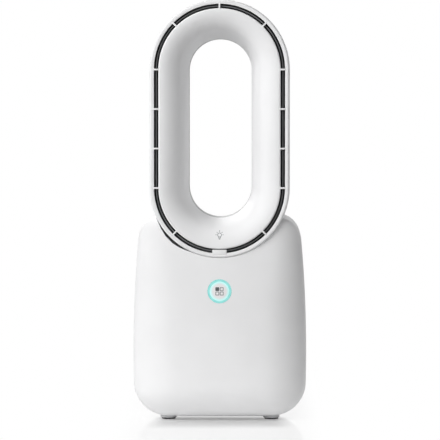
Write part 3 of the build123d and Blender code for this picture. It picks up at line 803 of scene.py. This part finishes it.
# ---- the base ----
LEVEL_Z = 0.110  # rows of the base's skin are level up to here, and follow the saddle above
FOOT_ROWS, LEVEL_ROWS, SADDLE_ROWS = 10, 6, 12
FACE, CORNER, FLANK = 16, 10, 8  # steps of the skin across the front, round a corner and along a side
TIGHTER_Z, LEAST_CORNER = 0.09, 0.0005  # the upright corners tighten above this height, down to this radius
UNDER_SADDLE_Z = 0.12  # below every column's top
STEEP_Z = (0.140, 0.165)  # columns that end between these heights crowd their rows towards the top
GAP_AT, GAP_SPREAD = radians(47), radians(24)  # where round the saddle the open gap is, and its half width
TAPER_Y, GAP_Y = (0.0375, 0.0475), (0.028, 0.032)  # where the saddle's taper and the gap set in towards the front
NEAR = 2e-6  # closer than this is the same place
BEYOND = 0.070  # behind the whole back
SCREWS_X, SCREWS_Z = (-0.047, 0.047), 0.128  # the screws that join the shells
SCREW_HOLE = 0.00305
INLET_Z = 0.022
INLET_MOUTH = (0.015, 0.008, 0.0015)  # width, height and rounding of the inlet's opening
INLET_PLUG, INLET_CUP = (0.0091, 0.0033, 0.0016), (0.019, 0.012, 0.003)
HATCH_LEDGE, HATCH_HOLE = (0.0704, 0.0424, 0.009), (0.052, 0.036, 0.006)
PLAY, KEY_PLAY = 0.00035, 0.0001  # room round the cover, and round the key and its ring
KEY_STEPS = 96
COVER_SLOT, SLOT_STEP, SLOT_ROWS = 0.0026, 0.0052, 5  # height of a slot, from row to row, rows above the middle
COVER_BAR, COVER_RIM = 0.0015, 0.006  # half the bar down the cover's middle, and the border beside the slots


def fraction(value, low, high):
    """0 up to low, 1 from high on, straight between."""
    return max(0.0, min(1.0, (value - low) / (high - low)))


def drawn_in(radius, beyond):
    """How far a rounding has drawn in at a distance beyond its start."""
    return radius - sqrt(max(radius**2 - beyond**2, 0.0))


def back_y(z):
    """How far behind the middle the leaning back is at a height. The front is as far before it."""
    return base.half_depth - tan(base.lean) * (z - base.lean_from)


def crown_foot():
    """Lean of the side where the shoulder starts, and the middle of the shoulder's arc."""
    middle_z = base.top - base.crown
    lean = 0.0
    for _ in range(12):
        lean = atan(2 * base.swell * (middle_z + base.crown * sin(lean) - base.widest_z))
    foot_z = middle_z + base.crown * sin(lean)
    width = base.half_width - base.swell * (foot_z - base.widest_z) ** 2
    return lean, width - base.crown * cos(lean), middle_z


def section_at(z, inset, crown):
    """Half width, half depth and corner radius of the base at a height, set in from the skin."""
    width = base.half_width - base.swell * (z - base.widest_z) ** 2 - inset
    depth = back_y(max(z, base.lean_from)) - inset
    corner = base.corner - inset - base.tighten * max(z - TIGHTER_Z, 0.0)
    foot = base.foot - inset
    foot_z = base.underside + inset + foot
    if z < foot_z:
        drawn = drawn_in(foot, foot_z - z)
        width, depth, corner = width - drawn, depth - drawn, corner - drawn
    lean, middle_x, middle_z = crown
    round_up = base.crown - inset
    if z > middle_z + round_up * sin(lean):
        narrow = middle_x + sqrt(max(round_up**2 - (z - middle_z) ** 2, 0.0))
        corner -= width - narrow
        width = narrow
    soft_z = base.top - inset - base.ear_soft
    if z > soft_z:
        depth -= drawn_in(base.ear_soft, z - soft_z)
    return width, depth, max(corner, LEAST_CORNER)


def skin_columns():
    """The columns once round the base, as functions of a section: (kind, share, right or left, back or front)."""
    across = [-1 + 2 * k / FACE for k in range(FACE + 1)]
    rise = [pi / 2 * k / CORNER for k in range(1, CORNER + 1)]
    group = {}
    for back in (-1, 1):
        left = [("corner", angle, -1, back) for angle in reversed(rise)]
        right = [("corner", angle, 1, back) for angle in rise]
        group[back] = left + [("face", share, 1, back) for share in across] + right
    right, left = ([("side", -1 + 2 * k / FLANK, side, 1) for k in range(1, FLANK)] for side in (1, -1))
    return group[-1], right, group[1], left


def skin_point(column, z, inset, crown):
    """The point of a column at a height, set in from the skin."""
    kind, share, right, back = column
    width, depth, corner = section_at(z, inset, crown)
    across, along = corner * base.long, corner * base.shallow
    if kind == "face":
        x, y = share * (width - across), back * depth
    elif kind == "corner":
        x = right * (width - across + across * sin(share))
        y = back * (depth - along + along * cos(share))
    else:
        x, y = right * width, share * (depth - along)
    if y < 0:
        y *= 1 - x * x / (2 * base.bow * base.half_depth)
    return Vector((x, y, z))


def saddle_radius(x, y, z, inset):
    """Radius of the saddle at a place: narrower at the front, with a crescent of a gap at the lower left."""
    if inset:
        return base.saddle + inset
    off = (atan2(loop.low_z - z, -x) - GAP_AT) / GAP_SPREAD
    opened_up = cos(off * pi / 2) ** 2 if abs(off) < 1 else 0.0
    narrowed = base.taper * fraction(-y, *TAPER_Y)
    return base.saddle - narrowed + (base.gap + base.taper) * opened_up * fraction(-y, *GAP_Y)


def base_solid(name, inset):
    """The rounded base up to its saddle, closed. The skin has the saddle's edge rounded, the hollow faces inwards."""
    crown = crown_foot()
    front, right, rear, left = skin_columns()
    foot = base.foot - inset
    heights = [base.underside + inset + foot * (1 - cos(pi / 2 * k / FOOT_ROWS)) for k in range(FOOT_ROWS + 1)]
    foot_z = heights[-1]
    heights += [foot_z + (LEVEL_Z - foot_z) * k / LEVEL_ROWS for k in range(1, LEVEL_ROWS + 1)]

    def top_of(column):
        under, over = UNDER_SADDLE_Z, base.top - inset
        for _ in range(40):
            z = (under + over) / 2
            point = skin_point(column, z, inset, crown)
            if point.x**2 + (loop.low_z - z) ** 2 > saddle_radius(*point, inset) ** 2:
                under = z
            else:
                over = z
        return (under + over) / 2

    def on_saddle(point):
        point.z = loop.low_z - sqrt((base.saddle + inset) ** 2 - point.x**2)
        point.z = loop.low_z - sqrt(saddle_radius(*point, inset) ** 2 - point.x**2)
        return point

    bm = bmesh.new()
    columns = []
    for column in front + right + rear[::-1] + left[::-1]:
        top = top_of(column)
        lift = fraction(top, *STEEP_Z)
        levels = list(heights)
        for k in range(1, SADDLE_ROWS + 1):
            even = k / SADDLE_ROWS
            levels.append(LEVEL_Z + (top - LEVEL_Z) * (even + lift * (sin(even * pi / 2) - even)))
        columns.append([bm.verts.new(skin_point(column, z, inset, crown)) for z in levels])
    rim = [column[-1] for column in columns]
    for column, ahead in zip(columns, columns[1:] + columns[:1]):
        for row in range(len(column) - 1):
            bm.faces.new((column[row], ahead[row], ahead[row + 1], column[row + 1]))
    bm.faces.new([column[0] for column in reversed(columns)])

    across, along = len(front), len(right)
    front_top, right_top = rim[:across], rim[across : across + along]
    rear_top, left_top = rim[across + along : -along][::-1], rim[-along:][::-1]
    grid = [front_top]
    for j in range(along):
        inner = [a.co.lerp(b.co, (j + 1) / (along + 1)) for a, b in zip(front_top[1:-1], rear_top[1:-1])]
        grid.append([left_top[j], *(bm.verts.new(on_saddle(point)) for point in inner), right_top[j]])
    grid.append(rear_top)
    for row, ahead in zip(grid, grid[1:]):
        for i in range(across - 1):
            bm.faces.new((row[i], row[i + 1], ahead[i + 1], ahead[i]))
    if not inset:
        border = {frozenset(pair) for pair in zip(rim, rim[1:] + rim[:1])}
        bevel(bm, [e for e in bm.edges if frozenset(e.verts) in border], base.edge, 4)
        bmesh.ops.dissolve_degenerate(bm, dist=NEAR, edges=bm.edges)
    bmesh.ops.recalc_face_normals(bm, faces=bm.faces)
    if inset:
        bmesh.ops.reverse_faces(bm, faces=bm.faces)
    # the hollow takes the shell's darker copy, painted shade
    zones = [1 if inset else 0] * len(bm.faces)
    return give(put_in(bm, name), ("shell", "shell_inside"), zones)


def key_place():
    """Middle of the key on the skin, Z out of the skin."""
    spot = Matrix.Translation((0, -back_y(details.key_z), details.key_z))
    return spot @ Matrix.Rotation(pi / 2 - base.lean, 4, "X")


def window_outline(grow, steps=8):
    """The back window's outline, grown all round."""
    side = details.window + 2 * grow
    return rounded_square(side, side, details.window_round + grow, steps)


def whole_shell_mesh():
    """Skin and hollow of the base with every opening cut, before the shells are parted."""
    outer, inner = base_solid("base_skin", 0.0), base_solid("base_hollow", base.wall)
    shell = cut_prisms(
        joined_mesh("base_shell", outer, inner),
        (circle(details.ring + KEY_PLAY, KEY_STEPS), -0.012, 0.02, key_place()),
        (window_outline(0.0), 0.040, BEYOND, facing_back(details.window_z)),
        (rounded_square(*INLET_MOUTH), 0.040, BEYOND, facing_back(INLET_Z)),
        *((circle(SCREW_HOLE), 0.030, BEYOND, facing_back(SCREWS_Z, x)) for x in SCREWS_X),
        (rounded_square(*HATCH_LEDGE), -0.002, 0.004),
    )
    return cut_prisms(shell, (rounded_square(*HATCH_HOLE), 0.003, 0.008))


def parted_mesh(shell, name, low_y, high_y):
    """The part of the shell between two places, its edges at the seam rounded."""
    cuts = bmesh.new()
    box_into(cuts, (-0.2, 0.2), (low_y, high_y), (-0.1, 0.4))
    mesh = carve(shell.copy(), cuts, "INTERSECT")

    def at_seam(face):
        return abs(face.normal.y) > 0.99 and abs(face.calc_center_median().y - base.parting) < 1e-5

    bm = opened(mesh)
    edges = [e for e in bm.edges if all(abs(v.co.y - base.parting) < 1e-6 for v in e.verts)]
    bevel(bm, [e for e in edges if sum(at_seam(face) for face in e.link_faces) == 1], 0.0003)
    put_back(bm, mesh).name = name
    return soften(mesh)


def square_frame(name, profile, finishes, zone):
    """A frame at the back window, from its outline of (how far outside the window, place)."""
    place = facing_back(details.window_z)
    rings = [[place @ Vector((x, z, y)) for x, z in window_outline(grow)] for grow, y in profile]
    return carried_mesh(name, rings, [zone] * len(rings[0]), finishes)


def window_frame_mesh():
    """The ledge and collar round the back window."""
    seat_y, skin_y = details.seat_y - PLAY, 0.0494
    ledge_y = seat_y - 0.002
    profile = [(0.0, skin_y), (0.0, seat_y), (-0.003, seat_y), (-0.003, ledge_y), (0.002, ledge_y), (0.002, skin_y)]
    # the frame takes the shell's darker copy, painted shade for a recess
    return square_frame("window_frame_mesh", profile, ("shell_inside",), 0)


def screw_wells_mesh():
    """The deep holes for the screws that join the shells."""
    shank, outside, floor_y, ledge_y, mouth_y = 0.0016, 0.00465, 0.0101, 0.013, 0.0465
    corners = [
        (shank, floor_y),
        (outside, floor_y),
        (outside, mouth_y),
        (SCREW_HOLE, mouth_y),
        (SCREW_HOLE, ledge_y),
        (shank, ledge_y),
    ]
    # the wells take the shell's darker copy, painted shade in deep holes
    wells = [turned("well_mesh", corners, ("shell_inside",), facing_back(SCREWS_Z, x)) for x in SCREWS_X]
    return joined_mesh("screw_wells_mesh", *wells)


def inlet_pocket_mesh():
    """The cup round the charging inlet."""
    place = facing_back(INLET_Z)
    bm = bmesh.new()
    prism_into(bm, rounded_square(*INLET_CUP), 0.044, 0.0499, place)
    cup = mesh_from(bm, "pocket_mesh", ("shell",))
    for opening, floor_y in ((INLET_MOUTH, 0.046), (INLET_PLUG, 0.030)):
        cup = cut_prisms(cup, (rounded_square(*opening), floor_y, 0.060, place))
    return soften(cup)


def intake_cover_mesh():
    """The slotted cover: flush with the leaning back, with rounded slots and a skirt that holds the filter."""
    place = facing_back(details.window_z)
    outline = window_outline(-PLAY, 12)
    inside = [place @ Vector((x, z, details.seat_y)) for x, z in outline]
    skin = [place @ Vector((x, z, back_y(details.window_z + z))) for x, z in outline]
    bm = bmesh.new()
    prism_between(bm, inside, skin)
    plate = mesh_from(bm, "cover_plate", ("shell", "shell_inside"))
    slot_end = details.window / 2 - COVER_RIM
    slot = rounded_square(slot_end - COVER_BAR, COVER_SLOT, 0.00129, 5)
    middle = (slot_end + COVER_BAR) / 2
    spots = [(x, row * SLOT_STEP, 0) for row in range(-SLOT_ROWS, SLOT_ROWS + 1) for x in (-middle, middle)]
    plate = cut_prisms(plate, *((slot, 0.040, 0.060, place @ Matrix.Translation(spot)) for spot in spots))

    def on_skin(vert):
        return abs(vert.co.y - back_y(vert.co.z)) < NEAR

    bm = opened(plate)
    edges = [e for e in bm.edges if all(map(on_skin, e.verts)) and len(e.link_faces) == 2]
    bevel(bm, [e for e in edges if e.calc_face_angle(0.0) > 0.6], 0.0004, 3)
    put_back(bm, plate)
    near_y, far_y = details.seat_y, details.seat_y - 0.004
    profile = [(-0.00335, far_y), (-0.00335, near_y), (-0.00485, near_y), (-0.00485, far_y)]
    # the skirt, zone 1, takes the shell's darker copy, painted shade
    return joined_mesh("intake_cover_mesh", plate, square_frame("skirt", profile, ("shell", "shell_inside"), 1))


# ---- signs ----
STROKE_PIECES = 4
LAMP_LINE, KEY_LINE = 0.00048, 0.00060  # widths of the lines of the two signs
LAMP_RISE, KEY_RISE = 0.00004, 0.00009  # how far the signs stand off what carries them


def stroke(start, end, width):
    """A straight stroke with square ends, as a list of quads of flat points."""
    a, b = Vector(start), Vector(end)
    side = Vector((-(b - a).y, (b - a).x)).normalized() * width / 2
    ends = [a.lerp(b, k / STROKE_PIECES) for k in range(STROKE_PIECES + 1)]
    return [[p - side, q - side, q + side, p + side] for p, q in zip(ends, ends[1:])]


def band(inner, outer):
    """Quads between two closed outlines of equally many points."""
    return [[inner[k - 1], outer[k - 1], outer[k], inner[k]] for k in range(len(inner))]


def flat_sign_mesh(name, quads, lay, finishes, zones=None):
    """A print: flat shapes laid on what carries them."""
    points, faces = [], []
    for quad in quads:
        faces.append(tuple(range(len(points), len(points) + len(quad))))
        points += [lay(*point) for point in quad]
    return mesh_of(name, points, faces, finishes, zones)


def lamp_sign_mesh():
    """A small lamp with rays, printed on the foot of the flare."""
    r, half = details.lamp_sign, LAMP_LINE / 2
    quads = band(circle(r - half), circle(r + half))
    for turn in (0, 46, -46, 88, -88):
        way = Vector((cos(radians(90 + turn)), sin(radians(90 + turn))))
        quads += stroke(way * (r + 0.0008), way * (r + (0.0017 if turn else 0.0021)), LAMP_LINE)
    for side in (-1, 1):
        quads += stroke((side * 0.55 * r, -0.92 * r), (side * 0.0006, -r - 0.0008), LAMP_LINE)
    for reach, low in ((0.0009, 0.0010), (0.0006, 0.0018)):
        quads += stroke((-reach, -r - low), (reach, -r - low), LAMP_LINE)

    def on_flare(x, up):
        z = details.lamp_sign_z + up
        return x, flare_y(sqrt(x * x + (loop.low_z - z) ** 2)) - LAMP_RISE, z

    return flat_sign_mesh("lamp_sign_mesh", quads, on_flare, ("sign",))


def key_sign_mesh():
    """Four small rounded squares on the key, one of them filled."""
    size = details.key_sign * 0.465
    step = (details.key_sign - size) / 2
    hole = size - 2 * KEY_LINE
    place = key_place()
    quads, zones = [], []
    for across, up in ((-1, 1), (1, 1), (-1, -1), (1, -1)):
        x, y = across * step, up * step
        outer, inner = (
            [(x + a, y + b) for a, b in rounded_square(side, side, rounding, 5)]
            for side, rounding in ((size, 0.0005), (hole, 0.0003))
        )
        filled = (across, up) == (-1, 1)
        shapes = [outer] if filled else band(inner, outer)
        quads += shapes
        zones += [int(filled)] * len(shapes)

    def on_key(x, y):
        return place @ Vector((x, y, KEY_RISE))

    return flat_sign_mesh("key_sign_mesh", quads, on_key, ("sign", "sign_dark"), zones)


# ---- small turned pieces ----
KEY_DEPTH, KEY_EDGE = -0.004, 0.00025  # how far in the key and its ring reach, and their edge's rounding
SCREW_HEAD, SCREW_SHANK = 0.00275, 0.0015  # radii
CROSS_ARM, CROSS_SLIT = 0.0016, 0.00028  # half length and half width of the cross recess


def key_disc_mesh(name, finish, inner, outer, face):
    """The key or its ring, which stands off the skin by so much."""
    corners = [(inner, KEY_DEPTH), (outer, KEY_DEPTH), (outer, face, KEY_EDGE), (inner, face, KEY_EDGE)]
    if not inner:
        corners[-1] = (0, face)
    return turned(name, corners, (finish,), key_place(), KEY_STEPS)


def rubber_feet_mesh():
    """Four feet: a pale collar, and a dark sole with a ring moulded into it."""
    r = details.foot
    corners = [
        (0, 0.0003),
        (r * 0.35, 0.0003),
        (r * 0.42, 0, 0.0001),
        (r * 0.85, 0, 0.0004),
        (r * 0.85, 0.0011, 0, 1),
        (r, 0.0013, 0.0003, 1),
        (r, 0.0035, 0.0002, 1),
        (0, 0.0035, 0, 1),
    ]
    places = [(x, y, 0) for x in (-details.foot_x, details.foot_x) for y in (-details.foot_y, details.foot_y)]
    feet = [turned("foot_mesh", corners, ("rubber", "collar"), Matrix.Translation(at), 48) for at in places]
    return joined_mesh("rubber_feet_mesh", *feet)


def screw_mesh(place, shank, head=0.002):
    """A pan head with a cross recess at the origin of a place, shank down its Z axis."""
    tip = -head - shank
    corners = [
        (0, 0),
        (SCREW_HEAD, 0, 0.0006),
        (SCREW_HEAD, -head, 0.0001),
        (SCREW_SHANK, -head),
        (SCREW_SHANK, tip + 0.0006),
        (0.0009, tip),
        (0, tip),
    ]
    screw = turned("screw_mesh", corners, ("steel",), Matrix())
    for half_x, half_y, low in ((CROSS_ARM, CROSS_SLIT, -0.0011), (CROSS_SLIT, CROSS_ARM, -0.00111)):
        cuts = bmesh.new()
        box_into(cuts, (-half_x, half_x), (-half_y, half_y), (low, 0.001))
        screw = carve(screw, cuts)
    screw.transform(place)
    return screw


# ---- operators ----
SOFT_EDGE = 0.0002  # width of the bevel on the edges of the solids that stay
HATCH_SCREWS_X, HATCH_SCREWS_Z = (-0.0305, 0.0305), 0.0027


class FAN_OT_rear_shell(bpy.types.Operator):
    """The loop's rim, outside, back and bore"""

    bl_idname = "fan.rear_shell"
    bl_label = "Loop rear shell"

    def execute(self, context):
        seat("loop_rear_body", rear_shell_mesh(), "loop_rear_shell")
        seat("loop_seats", loop_seats_mesh())
        return {"FINISHED"}


class FAN_OT_front_flare(bpy.types.Operator):
    """The bell mouth inside the slot, and the bars across the slot"""

    bl_idname = "fan.front_flare"
    bl_label = "Loop front flare"

    def execute(self, context):
        seat("loop_flare_body", flare_mesh(), "loop_front_flare")
        seat("slot_ribs", slot_ribs_mesh())
        return {"FINISHED"}


class FAN_OT_base_shells(bpy.types.Operator):
    """The rounded front and rear shells of the base"""

    bl_idname = "fan.base_shells"
    bl_label = "Base shells"

    def execute(self, context):
        shell = whole_shell_mesh()
        front = parted_mesh(shell, "base_front_mesh", -0.2, base.parting)
        rear = parted_mesh(shell, "base_rear_mesh", base.parting, 0.2)
        seat("base_front_body", front, "base_front_shell")
        seat("base_rear_body", rear, "base_rear_shell")
        seat("window_frame", window_frame_mesh())
        seat("screw_wells", screw_wells_mesh())
        seat("inlet_pocket", inlet_pocket_mesh())
        return {"FINISHED"}


class FAN_OT_intake_cover(bpy.types.Operator):
    """The slotted cover over the intake"""

    bl_idname = "fan.intake_cover"
    bl_label = "Intake cover"

    def execute(self, context):
        seat("intake_grille", intake_cover_mesh(), "intake_cover", body="back_cover")
        return {"FINISHED"}


class FAN_OT_touch_key(bpy.types.Operator):
    """The touch key, its lit ring and both printed signs"""

    bl_idname = "fan.touch_key"
    bl_label = "Touch key and signs"

    def execute(self, context):
        edge = details.ring - details.ring_width
        ring = key_disc_mesh("light_ring_mesh", "light", edge, details.ring, 0.00006)
        key = key_disc_mesh("touch_key_mesh", "key", 0, edge - KEY_PLAY, 0.00005)
        seat("light_ring_diffuser", ring, "light_ring", slot="light_ring")
        seat("touch_key_cap", key, "touch_key")
        seat("key_sign", key_sign_mesh(), slot="dark_guide")
        seat("lamp_sign", lamp_sign_mesh(), slot="dark_guide")
        return {"FINISHED"}


class FAN_OT_rubber_feet(bpy.types.Operator):
    """The four rubber feet"""

    bl_idname = "fan.rubber_feet"
    bl_label = "Rubber feet"

    def execute(self, context):
        seat("rubber_soles", rubber_feet_mesh(), "rubber_feet", slot="rubber")
        return {"FINISHED"}


class FAN_OT_screws(bpy.types.Operator):
    """The screws that show: in the back's deep holes and round the hatch"""

    bl_idname = "fan.screws"
    bl_label = "Screws"

    def execute(self, context):
        pair = [screw_mesh(facing_back(SCREWS_Z, x, 0.015), 0.0127) for x in SCREWS_X]
        seat("shell_screws", joined_mesh("shell_screws_mesh", *pair), "joint_screws", slot="steel")
        flip = Matrix.Rotation(pi, 4, "X")
        places = [Matrix.Translation((x, 0, HATCH_SCREWS_Z)) @ flip for x in HATCH_SCREWS_X]
        pair = [screw_mesh(place, 0.0048, 0.00055) for place in places]
        seat("hatch_fixings", joined_mesh("hatch_fixings_mesh", *pair), "hatch_screws", slot="steel")
        return {"FINISHED"}


class FAN_OT_inner_finishes(bpy.types.Operator):
    """Finishes of the pieces whose solids stay as they are"""

    bl_idname = "fan.inner_finishes"
    bl_label = "Finishes of the other pieces"

    def execute(self, context):
        kinds = {
            # painted shade: the vane in the slot is dark in place of the shade there
            "guide": ("air_guide", "impeller"),
            "inner": ("blower_duct", "duct_neck", "battery_cradle"),
            "steel": ("loop_screws", "shaft_nut"),
            "turned_steel": ("charging_inlet", "motor_can", "motor_shaft"),
            "diffuser": ("light_bars",),
            "shell": ("bottom_hatch",),
            "board": ("key_board",),
            "control": ("control_board",),
            "sleeve": ("battery_pack",),
            "rubber": ("blower_isolators",),
            "foam": ("intake_filter",),
        }
        for kind, node in ((kind, node) for kind, nodes in kinds.items() for node in nodes):
            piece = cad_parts[node]
            piece.data.materials.clear()
            give(piece.data, (kind,))
            edges = piece.modifiers.new("softened edges", "BEVEL")
            edges.width = SOFT_EDGE
            edges.segments = 2
            edges.limit_method = "ANGLE"
            edges.angle_limit = radians(40)
        return {"FINISHED"}


WHITE = (1.0, 1.0, 1.0)
LIGHTS = (  # name, place, width, setting of its power
    ("key_light", (-0.88, -0.92, 0.90), 1.4, "key_power"),
    ("fill_light", (1.5, -1.2, 0.5), 1.4, "fill_power"),
    ("rim_light", (1.0, 0.75, 0.55), 0.7, "rim_power"),
    ("back_light", (-0.45, 1.9, 0.95), 1.2, "back_power"),
)
LIT_POINT = (0, 0, 0.17)
FLOOR_SIZE, FLOOR_DROP = 9.0, 0.00001
UNDER_X, UNDER_Y = 0.045, 0.025  # half width and half depth of the floor under the fan
# how much of the contact shadow and of the mirror image shows, and where each fades before and beside the fan
SHADOW, SHADOW_BEFORE, SHADOW_BESIDE = 0.55, (0.04, 0.08), (0.0, 0.018)
MIRROR, MIRROR_BEFORE, MIRROR_BESIDE = 0.3, (0.12, 0.5), (0.012, 0.04)
FAR_FLOOR, FAR_FADE = (0.35, 0.35, 0.35), (0.03, 0.3)  # dimmer for the fan's own light, away from the fan


class FAN_OT_stage(bpy.types.Operator):
    """Floor, lights, sky and camera"""

    bl_idname = "fan.stage"
    bl_label = "Stage"

    def execute(self, context):
        scene = context.scene
        scene.view_settings.view_transform = "Standard"
        camera = bpy.data.cameras.new("camera")
        camera.lens = stage.lens
        camera.clip_end = 50.0
        scene.camera = self.aimed("camera", camera, stage.camera_at, stage.aim_at)
        for name, at, width, power in LIGHTS:
            light = bpy.data.lights.new(name, "AREA")
            light.shape = "DISK"
            light.size = width
            light.energy = getattr(stage, power)
            self.aimed(name, light, at, LIT_POINT)
        self.sky(scene)
        self.floor()
        return {"FINISHED"}

    def aimed(self, name, data, at, target):
        holder = add_object(name, data)
        holder.location = at
        holder.rotation_euler = (Vector(target) - Vector(at)).to_track_quat("-Z", "Y").to_euler()
        return holder

    def sky(self, scene):
        world = bpy.data.worlds.new("sky")
        world.use_nodes = True
        scene.world = world
        finish = Finish("sky", world.node_tree)
        light, white = (
            finish.node("ShaderNodeBackground", None, {"Color": WHITE, "Strength": strength}).outputs[0]
            for strength in (stage.sky, 1.0)
        )
        finish.show_mix("World Output", finish.seen(), light, white)

    def floor(self):
        """A pale floor that keeps the shadow near the fan and turns into the white background further off."""
        bm = bmesh.new()
        bmesh.ops.create_grid(bm, x_segments=8, y_segments=8, size=FLOOR_SIZE)
        mesh = put_in(bm, "floor_mesh")
        finish = Finish("finish_floor")
        x, y, _ = finish.parts()
        beside = (abs(x) - UNDER_X).larger(0.0)
        before = (abs(y) - UNDER_Y).larger(0.0)
        away = (beside * beside + before * before) ** 0.5
        seen = finish.seen()
        contact = SHADOW * (1.0 - before.fade(*SHADOW_BEFORE)) * (1.0 - beside.fade(*SHADOW_BESIDE))
        mirror = MIRROR * (1.0 - before.fade(*MIRROR_BEFORE)) * (1.0 - beside.fade(*MIRROR_BESIDE))
        share = (1.0 - mirror - contact * (1.0 - y.fade(-0.03, 0.0))) * seen
        white = finish.node("ShaderNodeEmission", None, {"Color": WHITE, "Strength": 1.0}).outputs[0]
        dim = away.fade(*FAR_FADE) * (1.0 - seen)
        mesh.materials.append(finish.dress(Base_Color=finish.blend(dim, WHITE, FAR_FLOOR), Roughness=0.06))
        finish.show_mix("Material Output", share, finish.shader.outputs[0], white)
        floor = add_object("floor", mesh)
        floor.location.z = -FLOOR_DROP


class FAN_PT_panel(bpy.types.Panel):
    """Lists the pieces in the order in which they are made"""

    bl_idname = "FAN_PT_panel"
    bl_label = "Bladeless fan"
    bl_space_type = "VIEW_3D"
    bl_region_type = "UI"
    bl_category = "Fan"

    def draw(self, context):
        for operator in PIECES:
            self.layout.operator(operator.bl_idname)
        for group in GROUPS:
            settings = getattr(context.scene, group)
            box = self.layout.box()
            for name in settings.__annotations__:
                box.prop(settings, name)


PIECES = (
    FAN_OT_rear_shell,
    FAN_OT_front_flare,
    FAN_OT_base_shells,
    FAN_OT_intake_cover,
    FAN_OT_touch_key,
    FAN_OT_rubber_feet,
    FAN_OT_screws,
    FAN_OT_inner_finishes,
    FAN_OT_stage,
)
GROUPS = {
    "fan_loop": LoopSizes,
    "fan_base": BaseSizes,
    "fan_details": DetailSizes,
    "fan_colours": FinishColours,
    "fan_stage": StageSizes,
}


def register():
    for name, group in GROUPS.items():
        bpy.utils.register_class(group)
        setattr(bpy.types.Scene, name, PointerProperty(type=group))
    for cls in (*PIECES, FAN_PT_panel):
        bpy.utils.register_class(cls)


def unregister():
    for cls in reversed((*PIECES, FAN_PT_panel)):
        bpy.utils.unregister_class(cls)
    for name, group in reversed(GROUPS.items()):
        delattr(bpy.types.Scene, name)
        bpy.utils.unregister_class(group)


def main():
    register()
    for operator in PIECES:
        category, name = operator.bl_idname.split(".")
        getattr(getattr(bpy.ops, category), name)()


if __name__ == "__main__":
    main()
